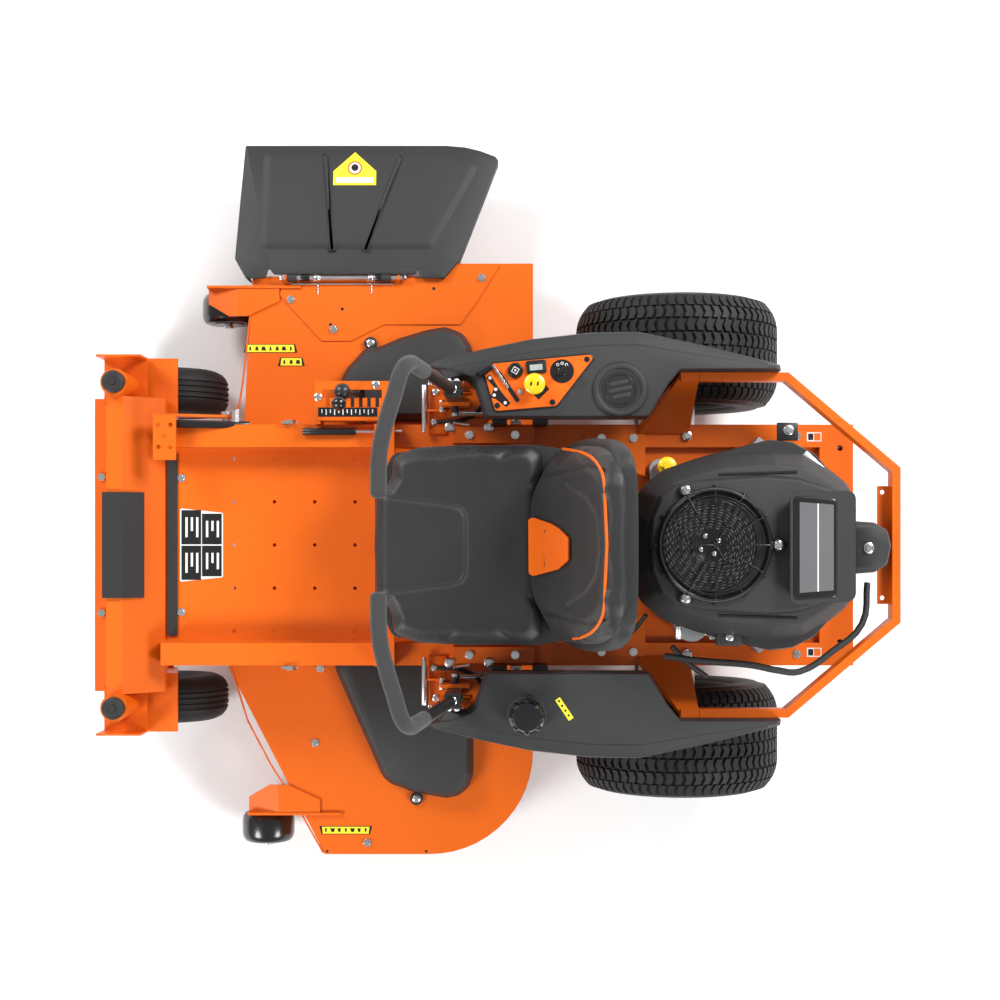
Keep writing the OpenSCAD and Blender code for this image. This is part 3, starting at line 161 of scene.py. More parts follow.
def grained_group() -> bpy.types.NodeTree:
    """Returns the group that gives a surface its fine grain and slightly rounded edges.

    Returns:
        The node group, with Scale, Depth and Edge in and Normal out.
    """
    tree = bpy.data.node_groups.new("grained", "ShaderNodeTree")
    group_socket(tree, "Scale", "NodeSocketFloat", False, 900.0)
    group_socket(tree, "Depth", "NodeSocketFloat", False, 0.2)
    group_socket(tree, "Edge", "NodeSocketFloat", False, 0.0015)
    group_socket(tree, "Normal", "NodeSocketVector", True)
    nodes, links = tree.nodes, tree.links
    given = nodes.new("NodeGroupInput")
    result = nodes.new("NodeGroupOutput")
    where = nodes.new("ShaderNodeTexCoord")
    grain = nodes.new("ShaderNodeTexNoise")
    grain.inputs["Detail"].default_value = 2.0
    edge = nodes.new("ShaderNodeBevel")
    edge.samples = 4
    bump = nodes.new("ShaderNodeBump")
    bump.inputs["Distance"].default_value = 0.001
    links.new(where.outputs["Object"], grain.inputs["Vector"])
    links.new(given.outputs["Scale"], grain.inputs["Scale"])
    links.new(given.outputs["Edge"], edge.inputs["Radius"])
    links.new(edge.outputs["Normal"], bump.inputs["Normal"])
    links.new(grain.outputs["Fac"], bump.inputs["Height"])
    links.new(given.outputs["Depth"], bump.inputs["Strength"])
    links.new(bump.outputs["Normal"], result.inputs["Normal"])
    return tree


MOTTLED = mottled_group()
GRAINED = grained_group()


@dataclass(frozen=True)
class Finish:
    """One finish: a colour that varies a little, a roughness and a grain."""

    name: str
    colour: tuple[float, float, float]
    roughness: float
    metallic: float = 0.0
    shade: float = 0.15
    scale: float = 5.0
    spread: float = 0.15
    grain: float = 900.0
    depth: float = 0.15
    edge: float = 0.0015
    coat: float = 0.0
    coat_roughness: float = 0.1
    sheen: float = 0.0
    specular: float = 0.5

    def material(self) -> bpy.types.Material:
        """Builds the material.

        Returns:
            The new material.
        """
        made = bpy.data.materials.new(self.name)
        made.use_nodes = True
        nodes, links = made.node_tree.nodes, made.node_tree.links
        shader = nodes["Principled BSDF"]
        shader.inputs["Metallic"].default_value = self.metallic
        shader.inputs["Coat Weight"].default_value = self.coat
        shader.inputs["Coat Roughness"].default_value = self.coat_roughness
        shader.inputs["Sheen Weight"].default_value = self.sheen
        shader.inputs["Specular IOR Level"].default_value = self.specular
        mottled = nodes.new("ShaderNodeGroup")
        mottled.node_tree = MOTTLED
        mottled.inputs["Colour"].default_value = (*self.colour, 1.0)
        mottled.inputs["Shade"].default_value = self.shade
        mottled.inputs["Scale"].default_value = self.scale
        mottled.inputs["Roughness"].default_value = self.roughness
        mottled.inputs["Spread"].default_value = self.spread
        grained = nodes.new("ShaderNodeGroup")
        grained.node_tree = GRAINED
        grained.inputs["Scale"].default_value = self.grain
        grained.inputs["Depth"].default_value = self.depth
        grained.inputs["Edge"].default_value = self.edge
        links.new(mottled.outputs["Colour"], shader.inputs["Base Color"])
        links.new(mottled.outputs["Roughness"], shader.inputs["Roughness"])
        links.new(grained.outputs["Normal"], shader.inputs["Normal"])
        made.diffuse_color = (*self.colour, 1.0)
        return made


class Finishes:
    """Every finish of the machine, each made once."""

    def __init__(self) -> None:
        """Makes the materials."""
        self.orange = Finish("orange_paint", (0.70, 0.118, 0.003), 0.42, coat=0.08, specular=0.3, shade=0.12,
                             depth=0.05, grain=420.0, scale=3.0).material()
        self.orange_trim = Finish("orange_trim", (0.74, 0.120, 0.003), 0.5, specular=0.3, shade=0.08,
                                  depth=0.06).material()
        self.plastic = Finish("charcoal_plastic", (0.024, 0.0245, 0.025), 0.52, specular=0.4, grain=1500.0,
                              depth=0.35, shade=0.2).material()
        self.gloss = Finish("black_gloss_plastic", (0.008, 0.008, 0.009), 0.24, depth=0.04,
                            coat=0.3).material()
        self.metal = Finish("satin_black_paint", (0.012, 0.012, 0.0125), 0.42, depth=0.08,
                            coat=0.15).material()
        self.vinyl = Finish("seat_vinyl", (0.0135, 0.0135, 0.014), 0.46, grain=620.0, depth=0.5, shade=0.18,
                            sheen=0.05).material()
        self.foam = Finish("grip_foam", (0.042, 0.042, 0.043), 0.85, grain=700.0, depth=0.9, sheen=0.2,
                           shade=0.25, specular=0.25).material()
        self.rubber = Finish("rubber", (0.010, 0.010, 0.0105), 0.6, depth=0.3, shade=0.25).material()
        self.tyre = Finish("tyre_rubber", (0.011, 0.011, 0.0115), 0.62, grain=260.0, depth=0.35, shade=0.35,
                           scale=9.0, specular=0.35).material()
        self.zinc = Finish("bright_zinc", (0.78, 0.79, 0.80), 0.24, 1.0, shade=0.12, scale=20.0,
                           depth=0.08, edge=0.0006).material()
        self.alloy = Finish("cast_alloy", (0.46, 0.47, 0.48), 0.45, 1.0, shade=0.3, grain=500.0, depth=0.5,
                            edge=0.001).material()
        self.yellow = Finish("yellow_plastic", (0.90, 0.56, 0.006), 0.34, depth=0.05, coat=0.3).material()
        self.label = Finish("label_print", (0.86, 0.72, 0.03), 0.4, depth=0.02, edge=0.0001).material()
        self.label_white = Finish("label_white", (0.72, 0.72, 0.70), 0.4, depth=0.02, edge=0.0001).material()
        self.label_grey = Finish("label_grey", (0.11, 0.112, 0.115), 0.4, depth=0.02, edge=0.0001).material()
        self.label_black = Finish("label_black", (0.008, 0.008, 0.009), 0.35, depth=0.02,
                                  edge=0.0001).material()
        self.screen = Finish("meter_screen", (0.34, 0.40, 0.38), 0.12, depth=0.01, edge=0.0002,
                             coat=0.8).material()
        # dark_gap: near-black; painted shade in the shroud's grooves, on the cup holder's floor and in the
        # throttle's slot, and also the deck's small dark discs and the strip in the seat window
        self.dark = Finish("dark_gap", (0.006, 0.006, 0.006), 0.8, depth=0.1).material()

    def of_slot(self, slot: str) -> bpy.types.Material:
        """Returns the finish of one of the record's slots.

        Args:
            slot: the slot's name.

        Returns:
            Its material.
        """
        return {
            Slot.ORANGE.value: self.orange,
            Slot.PLASTIC.value: self.plastic,
            Slot.METAL.value: self.metal,
            Slot.VINYL.value: self.vinyl,
            Slot.FOAM.value: self.foam,
            Slot.RUBBER.value: self.rubber,
            Slot.TYRE.value: self.tyre,
            Slot.ZINC.value: self.zinc,
            Slot.ALLOY.value: self.alloy,
            Slot.YELLOW.value: self.yellow,
        }[slot]


# ---- Drawing in machine millimetres ----

# X runs forward from the rear axle, Y to the operator's left and Z up from the ground
REAR_AXLE = (0.0, 431.0, 228.5)


def machine_origin() -> Vector:
    """Returns the frame's place of the machine's own origin, from the left wheel's axle."""
    joint = next(j for j in frame["joints"] if j["name"] == "left_wheel_spin")
    return Vector(joint["pos_m"]) - Vector(REAR_AXLE) * MM


TO_FRAME = Matrix.Translation(machine_origin()) @ Matrix.Scale(MM, 4)


def turned_to(axis: Vector) -> Matrix:
    """Returns the rotation that takes Z to an axis.

    Args:
        axis: the direction wanted.

    Returns:
        The 4x4 rotation.
    """
    return axis.to_track_quat("Z", "Y").to_matrix().to_4x4()


def rounded(outline: Sequence[Flat], radius: float | Sequence[float], steps: int = 5) -> list[Flat]:
    """Rounds the corners of a closed outline.

    Args:
        outline: the corners, anticlockwise.
        radius: one radius, or one for each corner.
        steps: the number of segments in each corner.

    Returns:
        The outline with an arc at each corner.
    """
    points = [Vector(p) for p in outline]
    count = len(points)
    radii = [radius] * count if isinstance(radius, (int, float)) else list(radius)
    made: list[Flat] = []
    for i, corner in enumerate(points):
        before, after = points[i - 1] - corner, points[(i + 1) % count] - corner
        half = before.angle(after) / 2
        reach = min(radii[i] / max(math.tan(half), 1e-4), before.length * 0.48, after.length * 0.48)
        if reach < 0.05:
            made.append((corner.x, corner.y))
            continue
        a, b = corner + before.normalized() * reach, corner + after.normalized() * reach
        for k in range(steps + 1):
            t = k / steps
            q = a * (1 - t) ** 2 + corner * (2 * t * (1 - t)) + b * t ** 2
            made.append((q.x, q.y))
    return made


def moved_in(outline: Sequence[Flat], depth: float) -> list[Flat]:
    """Moves a closed anticlockwise outline inwards.

    Args:
        outline: the corners.
        depth: how far each side moves in.

    Returns:
        The new corners.
    """
    points = [Vector(p) for p in outline]
    count = len(points)
    made = []
    for i, p in enumerate(points):
        along_a = (p - points[i - 1]).normalized()
        along_b = (points[(i + 1) % count] - p).normalized()
        n_a, n_b = Vector((-along_a.y, along_a.x)), Vector((-along_b.y, along_b.x))
        q = p + (n_a + n_b) * (depth / max(1 + n_a.dot(n_b), 0.35))
        made.append((q.x, q.y))
    return made


def circle(centre: Flat, radius: float, steps: int = 24, start: float = 0.0,
           turn: float = 360.0) -> list[Flat]:
    """Returns points round a circle or along an arc.

    Args:
        centre: the middle.
        radius: the radius.
        steps: the number of points.
        start: the first angle in degrees.
        turn: the angle that the points cover.

    Returns:
        The points, anticlockwise.
    """
    last = steps if turn >= 360.0 else steps - 1
    angles = [math.radians(start + turn * k / last) for k in range(steps)]
    return [(centre[0] + radius * math.cos(a), centre[1] + radius * math.sin(a)) for a in angles]


class Shape:
    """A mesh drawn in machine millimetres, one solid at a time."""

    def __init__(self, mirrored: bool = False) -> None:
        """Starts an empty shape.

        Args:
            mirrored: True to turn the whole shape over to the machine's other side at the end.
        """
        self.bm = bmesh.new()
        self.mirrored = mirrored
        self.finishes: list[bpy.types.Material] = []

    @contextmanager
    def solid(self, finish: bpy.types.Material, place: Matrix | None = None, smooth: bool = True,
              flip: bool = True) -> Iterator[BMesh]:
        """Opens a fresh bmesh whose faces join the shape with one finish.

        Args:
            finish: the material of the new faces.
            place: a transform of the finished solid.
            smooth: True to shade the faces smoothly.
            flip: True to recalculate the normals.

        Yields:
            The bmesh to draw in.
        """
        bm = bmesh.new()
        yield bm
        if finish not in self.finishes:
            self.finishes.append(finish)
        if place is not None:
            bmesh.ops.transform(bm, matrix=place, verts=bm.verts)
        if flip:
            bmesh.ops.recalc_face_normals(bm, faces=bm.faces)
        for face in bm.faces:
            face.material_index = self.finishes.index(finish)
            face.smooth = smooth
        part = bpy.data.meshes.new("part")
        bm.to_mesh(part)
        bm.free()
        self.bm.from_mesh(part)
        bpy.data.meshes.remove(part)

    def prism(self, finish: bpy.types.Material, outline: Sequence[Flat], low: float, high: float,
              soft: float = 0.0, steps: int = 2, place: Matrix | None = None) -> None:
        """Adds a prism that stands on an outline.

        Args:
            finish: its material.
            outline: the corners.
            low: the height of its foot.
            high: the height of its top.
            soft: the width of the bevel on its edges.
            steps: the segments in the bevel.
            place: a transform of the solid.
        """
        with self.solid(finish, place) as bm:
            raise_outline(bm, outline, low, high)
            if soft:
                soften(bm, soft, steps)

    def dome(self, finish: bpy.types.Material, outline: Sequence[Flat], layers: Sequence[Flat],
             place: Matrix | None = None, radius: float = 0.0) -> None:
        """Adds a closed solid through copies of an outline, each moved in and lifted.

        Args:
            finish: its material.
            outline: the widest outline.
            layers: (how far in, height) for each copy, from the foot up.
            place: a transform of the solid.
            radius: the radius that rounds the corners of each copy.
        """
        with self.solid(finish, place) as bm:
            rings = []
            for depth, height in layers:
                flat = moved_in(outline, depth)
                if radius:
                    flat = rounded(flat, max(radius - 0.8 * depth, 2.0))
                rings.append(ring_of(bm, [(x, y, height) for x, y in flat]))
            close_stack(bm, rings)

    def block(self, finish: bpy.types.Material, low: Point, high: Point, soft: float = 1.0,
              place: Matrix | None = None) -> None:
        """Adds a box with bevelled edges.

        Args:
            finish: its material.
            low: its lowest corner.
            high: its highest corner.
            soft: the width of the bevel.
            place: a transform of the solid.
        """
        a, b = Vector(low), Vector(high)
        size = b - a
        with self.solid(finish, place) as bm:
            bmesh.ops.create_cube(bm, size=1.0)
            bmesh.ops.scale(bm, vec=size, verts=bm.verts)
            bmesh.ops.translate(bm, vec=(a + b) / 2, verts=bm.verts)
            if soft:
                soften(bm, min(soft, min(size) * 0.4), 2)

    def rod(self, finish: bpy.types.Material, start: Point, end: Point, radius: float,
            tip: float | None = None, steps: int = 16, soft: float = 0.0) -> None:
        """Adds a round bar, or a cone if its tip has another radius.

        Args:
            finish: its material.
            start: the middle of one end.
            end: the middle of the other end.
            radius: the radius at the start.
            tip: the radius at the end, the same if None.
            steps: the number of sides.
            soft: the width of the bevel at its ends.
        """
        a, b = Vector(start), Vector(end)
        place = Matrix.Translation((a + b) / 2) @ turned_to(b - a)
        with self.solid(finish, place) as bm:
            bmesh.ops.create_cone(bm, cap_ends=True, segments=steps, radius1=radius,
                                  radius2=radius if tip is None else tip, depth=(b - a).length)
            if soft:
                soften(bm, soft, 2, 50.0)

    def ball(self, finish: bpy.types.Material, centre: Point, radius: float) -> None:
        """Adds a ball.

        Args:
            finish: its material.
            centre: its middle.
            radius: its radius.
        """
        with self.solid(finish, Matrix.Translation(centre)) as bm:
            bmesh.ops.create_uvsphere(bm, u_segments=20, v_segments=12, radius=radius)

    def turned(self, finish: bpy.types.Material, profile: Sequence[Flat], centre: Point, axis: Axis = Axis.Z,
               steps: int = 48) -> None:
        """Adds a solid of revolution.

        Args:
            finish: its material.
            profile: (radius, height along the axis) of each point of a closed or axis-to-axis line.
            centre: the place of the axis's zero.
            axis: the direction of the axis.
            steps: the number of steps round it.
        """
        place = Matrix.Translation(centre) @ turned_to(Vector(axis.value))
        with self.solid(finish, place) as bm:
            spin_profile(bm, profile, steps)

    def hose(self, finish: bpy.types.Material, points: Sequence[Point], radius: float,
             sides: int = 3) -> None:
        """Adds a round tube along a smooth curve.

        Args:
            finish: its material.
            points: the points that the curve passes near.
            radius: the tube's radius.
            sides: the curve's bevel resolution.
        """
        mesh = swept_mesh(points, radius, sides)
        with self.solid(finish) as bm:
            bm.from_mesh(mesh)
            bmesh.ops.remove_doubles(bm, verts=bm.verts, dist=0.01)
            ends = [e for e in bm.edges if e.is_boundary]
            if ends:
                bmesh.ops.holes_fill(bm, edges=ends, sides=0)
        bpy.data.meshes.remove(mesh)

    def spring(self, finish: bpy.types.Material, start: Point, end: Point, radius: float, wire: float,
               turns: int) -> None:
        """Adds a coil spring.

        Args:
            finish: its material.
            start: the middle of one end.
            end: the middle of the other end.
            radius: the coil's radius.
            wire: the wire's radius.
            turns: the number of turns.
        """
        a, b = Vector(start), Vector(end)
        turn = turned_to(b - a)
        length = (b - a).length
        steps = turns * 12
        coil = [
            a + turn @ Vector((radius * math.cos(k * math.pi / 6), radius * math.sin(k * math.pi / 6),
                               length * k / steps))
            for k in range(steps + 1)
        ]
        self.hose(finish, [tuple(p) for p in coil], wire, 1)

    def bolt(self, finish: bpy.types.Material, at: Point, radius: float = 7.0,
             axis: Vector | None = None) -> None:
        """Adds a flanged hexagon bolt with a domed head.

        Args:
            finish: its material.
            at: the middle of its seat.
            radius: the radius of the head.
            axis: the direction that it points, up if None.
        """
        turn = turned_to(axis or Vector((0.0, 0.0, 1.0)))
        place = Matrix.Translation(at) @ turn
        with self.solid(finish, place) as bm:
            spin_profile(bm, [(0.0, -1.0), (radius * 1.35, -1.0), (radius * 1.35, 1.2), (radius * 1.1, 2.2),
                              (0.0, 2.4)], 20)
        with self.solid(finish, place, smooth=False) as bm:
            bmesh.ops.create_cone(bm, cap_ends=True, segments=6, radius1=radius, radius2=radius,
                                  depth=radius * 0.75, matrix=Matrix.Translation((0, 0, radius * 0.45)))
            soften(bm, radius * 0.1, 1)

    def label(self, finish: bpy.types.Material, outline: Sequence[Flat], height: float, lift: float = 0.4,
              place: Matrix | None = None) -> None:
        """Adds a thin printed patch.

        Args:
            finish: its material.
            outline: its corners.
            height: the height of the face under it.
            lift: its thickness.
            place: a transform of the patch.
        """
        self.prism(finish, outline, height, height + lift, place=place)

    def piece(self, name: str, body: str, slot: Slot, replaces: Sequence[str] = (),
              bend: Callable[[Vector], Vector] | None = None, angle: float = 38.0) -> bpy.types.Object:
        """Ends the shape and puts it on its body.

        Args:
            name: the piece's name.
            body: the CAD body that it rides on.
            slot: the record's slot of the piece; it is not used.
            replaces: the CAD nodes that it stands for.
            bend: a move of each point in machine millimetres.
            angle: the angle past which an edge stays sharp.

        Returns:
            The new object.
        """
        if bend is not None:
            for vert in self.bm.verts:
                vert.co = bend(vert.co)
        if self.mirrored:
            bmesh.ops.scale(self.bm, vec=(1.0, -1.0, 1.0), verts=self.bm.verts)
            bmesh.ops.reverse_faces(self.bm, faces=self.bm.faces)
        bmesh.ops.transform(self.bm, matrix=TO_FRAME, verts=self.bm.verts)
        mesh = bpy.data.meshes.new(name)
        self.bm.to_mesh(mesh)
        self.bm.free()
        for finish in self.finishes:
            mesh.materials.append(finish)
        mesh.set_sharp_from_angle(angle=math.radians(angle))
        made = bpy.data.objects.new(name, mesh)
        bpy.context.scene.collection.objects.link(made)
        settle(made, body, replaces)
        return made


def settle(piece: bpy.types.Object, body: str, replaces: Sequence[str] = ()) -> None:
    """Puts a finished object on its body.

    Args:
        piece: the object.
        body: the CAD body that it rides on.
        replaces: the CAD nodes that it stands for.
    """
    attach(piece, body)
    if replaces:
        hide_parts(*replaces)
    log.info("%s on %s, %d faces", piece.name, body, len(piece.data.polygons))


def raise_outline(bm: BMesh, outline: Sequence[Flat], low: float, high: float) -> None:
    """Draws a prism on an outline.

    Args:
        bm: the bmesh to draw in.
        outline: the corners.
        low: the height of its foot.
        high: the height of its top.
    """
    face = bm.faces.new([bm.verts.new((x, y, low)) for x, y in outline])
    made = bmesh.ops.extrude_face_region(bm, geom=[face])
    top = [v for v in made["geom"] if isinstance(v, bmesh.types.BMVert)]
    bmesh.ops.translate(bm, vec=(0.0, 0.0, high - low), verts=top)


def soften(bm: BMesh, width: float, steps: int = 2, angle: float = 28.0) -> None:
    """Bevels the edges of a bmesh that are sharper than an angle.

    Args:
        bm: the bmesh.
        width: the width of the bevel.
        steps: its segments.
        angle: the least angle between an edge's faces, in degrees.
    """
    bm.normal_update()
    limit = math.radians(angle)
    sharp = [e for e in bm.edges if len(e.link_faces) == 2 and e.calc_face_angle(0.0) > limit]
    bmesh.ops.bevel(bm, geom=sharp, offset=width, offset_type="OFFSET", segments=steps, profile=0.5,
                    affect="EDGES", clamp_overlap=True, material=-1)


def ring_of(bm: BMesh, points: Sequence[Point]) -> list[bmesh.types.BMEdge]:
    """Adds a closed ring of edges.

    Args:
        bm: the mesh to add to.
        points: the ring's corners in order.

    Returns:
        Its edges.
    """
    verts = [bm.verts.new(point) for point in points]
    return [bm.edges.new((verts[i - 1], verts[i])) for i in range(len(verts))]


def close_stack(bm: BMesh, rings: Sequence[list[bmesh.types.BMEdge]]) -> None:
    """Joins each ring to the next and closes the first and the last.

    Args:
        bm: the mesh to add to.
        rings: the rings from one end to the other, each with as many corners.
    """
    for lower, upper in zip(rings, rings[1:]):
        bmesh.ops.bridge_loops(bm, edges=lower + upper)
    for ring in (rings[0], rings[-1]):
        bmesh.ops.contextual_create(bm, geom=ring)
    bmesh.ops.triangulate(bm, faces=[face for face in bm.faces if len(face.verts) > 4])


def spin_profile(bm: BMesh, profile: Sequence[Flat], steps: int) -> None:
    """Spins a profile about Z and closes it.

    Args:
        bm: the bmesh to draw in.
        profile: (radius, height) of each point; a line that ends off the axis is closed.
        steps: the number of steps.
    """
    verts = [bm.verts.new((r, 0.0, z)) for r, z in profile]
    edges = [bm.edges.new(pair) for pair in zip(verts, verts[1:])]
    if profile[0][0] > 0.0 and profile[-1][0] > 0.0:
        edges.append(bm.edges.new((verts[-1], verts[0])))
    bmesh.ops.spin(bm, geom=verts + edges, cent=(0.0, 0.0, 0.0), axis=(0.0, 0.0, 1.0), angle=math.tau,
                   steps=steps, use_merge=True)
    bmesh.ops.remove_doubles(bm, verts=bm.verts, dist=0.001)


def swept_mesh(points: Sequence[Point], radius: float, sides: int) -> bpy.types.Mesh:
    """Makes a tube mesh along a smooth curve.

    Args:
        points: the points that the curve passes near.
        radius: the tube's radius.
        sides: the curve's bevel resolution.

    Returns:
        The mesh, in the points' own units.
    """
    curve = bpy.data.curves.new("sweep", "CURVE")
    curve.dimensions = "3D"
    curve.bevel_depth = radius
    curve.bevel_resolution = sides
    curve.use_fill_caps = True
    curve.resolution_u = 4
    spline = curve.splines.new("BEZIER")
    spline.bezier_points.add(len(points) - 1)
    for knot, point in zip(spline.bezier_points, points):
        knot.co = point
        knot.handle_left_type = "AUTO"
        knot.handle_right_type = "AUTO"
    holder = bpy.data.objects.new("sweep", curve)
    bpy.context.scene.collection.objects.link(holder)
    bpy.context.view_layer.update()
    mesh = bpy.data.meshes.new_from_object(holder.evaluated_get(bpy.context.evaluated_depsgraph_get()))
    bpy.data.objects.remove(holder)
    bpy.data.curves.remove(curve)
    return mesh


# ---- Wheels ----


@dataclass
class RearWheels:
    """The two turf tyres, with their rims and lug nuts."""

    finishes: Finishes
    radius: float = 228.5
    half_width: float = 120.5
    rim_radius: float = 101.5
    groove: float = 6.0
    blocks: int = 68
    row_pitch: float = 29.0
    rows: Sequence[float] = (-101.0, -73.5, -44.0, -14.7, 14.7, 44.0, 73.5, 101.0)

    def tread_radius(self, v: float) -> float:
        """Returns the tread's radius at a distance across the tyre.

        Args:
            v: the distance from the tyre's middle plane.

        Returns:
            The radius of the blocks' tops.
        """
        t = max(abs(v) - 52.0, 0.0) / 66.0
        return self.radius - 30.0 * t ** 2.2

    def draw_block(self, bm: BMesh, across: float, late: float, lean: float) -> None:
        """Draws one chevron block of a row.

        Args:
            bm: the bmesh to draw in.
            across: the place of its row.
            late: how far round the tyre it starts.
            lean: how far its middle stands forward.
        """
        half = self.row_pitch / 2 - 1.2
        w = 7.6
        outline = [(-w, -half), (w, -half), (w + lean, 0.0), (w, half), (-w, half), (-w + lean, 0.0)]
        bottom = bm.faces.new([bm.verts.new((s + late, v + across, -3.0)) for s, v in outline])
        made = bmesh.ops.extrude_face_region(bm, geom=[bottom])
        top = [v for v in made["geom"] if isinstance(v, bmesh.types.BMVert)]
        middle = Vector((late + lean / 2, across, 0.0))
        bmesh.ops.translate(bm, vec=(0.0, 0.0, 3.0 + self.groove), verts=top)
        bmesh.ops.scale(bm, vec=(0.86, 0.93, 1.0), verts=top, space=Matrix.Translation(-middle))

    def draw_tread(self, bm: BMesh) -> None:
        """Draws every block of the tread round the wheel's axis.

        Args:
            bm: the bmesh to draw in.
        """
        pitch = math.tau * self.radius / self.blocks
        for i, row in enumerate(self.rows):
            self.draw_block(bm, row, pitch / 2 * (i % 2), 6.0 if i % 2 else -6.0)
        for vert in bm.verts:
            lift = self.tread_radius(vert.co.y) - self.groove + vert.co.z
            angle = vert.co.x / self.radius
            vert.co = Vector((lift * math.sin(angle), vert.co.y, lift * math.cos(angle)))
        step = math.tau / self.blocks
        bmesh.ops.spin(bm, geom=bm.verts[:] + bm.edges[:] + bm.faces[:], cent=(0.0, 0.0, 0.0),
                       axis=(0.0, 1.0, 0.0), angle=math.tau - step, steps=self.blocks - 1, use_duplicate=True)

    def carcass(self) -> list[Flat]:
        """Returns the tyre's profile, (radius, across) from bead to bead."""
        top, w, bead = self.radius - self.groove, self.half_width, self.rim_radius + 0.5
        side = [(bead, w - 28.0), (bead + 6.0, w - 16.0), (bead + 20.0, w - 8.0), (bead + 26.0, w - 8.5),
                (bead + 30.0, w - 4.5), (top - 62.0, w - 0.5), (top - 40.0, w - 0.5), (top - 36.0, w - 3.0),
                (top - 24.0, w - 6.5)]
        ring = [(self.tread_radius(v) - self.groove, v) for v in (106.0, 96.0, 84.0, 70.0, 52.0, 25.0)]
        upper = side + ring
        return [(r, v) for r, v in upper] + [(r, -v) for r, v in reversed(upper)]

    def dress_rim(self, shape: Shape, wheel: Vector) -> None:
        """Adds the lug nuts, the hub cap and the valve.

        Args:
            shape: the shape to add to.
            wheel: the wheel's centre.
        """
        f = self.finishes
        out = Vector((0.0, 1.0, 0.0))
        for k in range(4):
            a = math.radians(45 + 90 * k)
            at = wheel + Vector((46.0 * math.cos(a), -50.0, 46.0 * math.sin(a)))
            shape.bolt(f.zinc, tuple(at), 8.5, out)
        shape.turned(f.zinc, [(0.0, -56.0), (22.0, -56.0), (22.0, -30.0), (18.0, -24.0), (0.0, -22.0)],
                     tuple(wheel), Axis.Y, 32)
        tip = wheel + Vector((76.0, -40.0, 0.0))
        shape.rod(f.rubber, tuple(tip), (tip.x, tip.y + 24.0, tip.z), 4.5, 3.2)

    def build(self) -> None:
        """Builds both tyres and their rims' dressing."""
        for side in ("left", "right"):
            tyre = Shape(mirrored=side == "right")
            centre = Vector(REAR_AXLE)
            with tyre.solid(self.finishes.tyre, Matrix.Translation(centre), smooth=False) as bm:
                self.draw_tread(bm)
            tyre.turned(self.finishes.tyre, self.carcass(), tuple(centre), Axis.Y, 96)
            tyre.piece(f"turf_tyre_{side}", f"{side}_wheel", Slot.TYRE, [f"rear_tyre_{side}"])
            rim = Shape(mirrored=side == "right")
            self.dress_rim(rim, centre)
            rim.piece(f"wheel_nuts_{side}", f"{side}_wheel", Slot.ZINC)


@dataclass
class Casters:
    """The front tyres, with their grooves, and the spokes of their hubs."""

    finishes: Finishes
    radius: float = 139.5
    half_width: float = 52.0
    rim_radius: float = 63.5
    centre: Point = (1180.0, 354.0, 139.5)
    spindle: Point = (1241.0, 354.0, 425.0)

    def profile(self) -> list[Flat]:
        """Returns the tyre's profile, (radius, across) from bead to bead."""
        r, w, bead = self.radius, self.half_width, self.rim_radius
        half = [(bead, w - 14.0), (bead + 6.0, w - 7.0), (r - 46.0, w - 1.5), (r - 40.0, w), (r - 32.0, w),
                (r - 26.0, w - 2.0), (r - 14.0, w - 8.0), (r - 6.0, w - 17.0), (r - 2.0, w - 26.0),
                (r - 1.0, 22.0), (r - 4.5, 20.5), (r - 4.5, 17.0), (r, 15.5), (r, 9.5), (r - 3.5, 8.0),
                (r - 3.5, 5.0), (r, 3.5)]
        return half + [(a, -b) for a, b in reversed(half)]

    def build(self) -> None:
        """Builds both caster tyres and the spokes of their hubs."""
        f = self.finishes
        for side in ("left", "right"):
            tyre = Shape(mirrored=side == "right")
            tyre.turned(f.tyre, self.profile(), self.centre, Axis.Y, 80)
            tyre.piece(f"caster_tyre_{side}_moulded", f"{side}_caster", Slot.TYRE, [f"caster_tyre_{side}"])
            hub = Shape(mirrored=side == "right")
            for turn in range(5):
                a = math.radians(72 * turn + 18)
                for face in (-1.0, 1.0):
                    base = Vector(self.centre) + Vector((0.0, face * 15.0, 0.0))
                    tip = base + Vector((50.0 * math.cos(a), 0.0, 50.0 * math.sin(a)))
                    root = base + Vector((22.0 * math.cos(a), face * 12.0, 22.0 * math.sin(a)))
                    hub.rod(f.plastic, tuple(root), tuple(tip), 7.0, 4.0, 8)
            hub.piece(f"caster_spokes_{side}", f"{side}_caster", Slot.PLASTIC)


@dataclass
class Rollers:
    """The anti-scalp rollers under the deck's front corners."""

    finishes: Finishes
    radius: float = 61.0
    half_width: float = 36.0
    height: float = 105.0
    places: dict[str, Flat] = field(default_factory=lambda: {"left": (950.0, 662.5),
                                                             "right": (1044.0, -555.5)})

    def build(self) -> None:
        """Builds both rollers."""
        r, w = self.radius, self.half_width
        profile = [(8.1, -w), (r - 26.0, -w), (r - 24.0, -w + 3.0), (r - 14.0, -w + 1.0), (r - 7.0, -w + 4.0),
                   (r - 2.0, -w + 12.0), (r, -w + 22.0), (r, w - 22.0), (r - 2.0, w - 12.0),
                   (r - 7.0, w - 4.0), (r - 14.0, w - 1.0), (r - 24.0, w - 3.0), (r - 26.0, w), (8.1, w)]
        for side, (x, y) in self.places.items():
            shape = Shape()
            shape.turned(self.finishes.gloss, profile, (x, y, self.height), Axis.Y, 56)
            shape.piece(f"roller_{side}_moulded", f"{side}_roller", Slot.RUBBER, [f"roller_{side}"])


# ---- Deck ----

DECK_TOP = 187.0
DECK_RIGHT = -621.5
BLADE_LEFT = (570.0, 477.0)
BLADE_RIGHT = (570.0, -387.0)


def shifted(outline: Sequence[Flat], by: Flat) -> list[Flat]:
    """Returns an outline moved by a step.

    Args:
        outline: the corners.
        by: the step.

    Returns:
        The moved corners.
    """
    return [(x + by[0], y + by[1]) for x, y in outline]


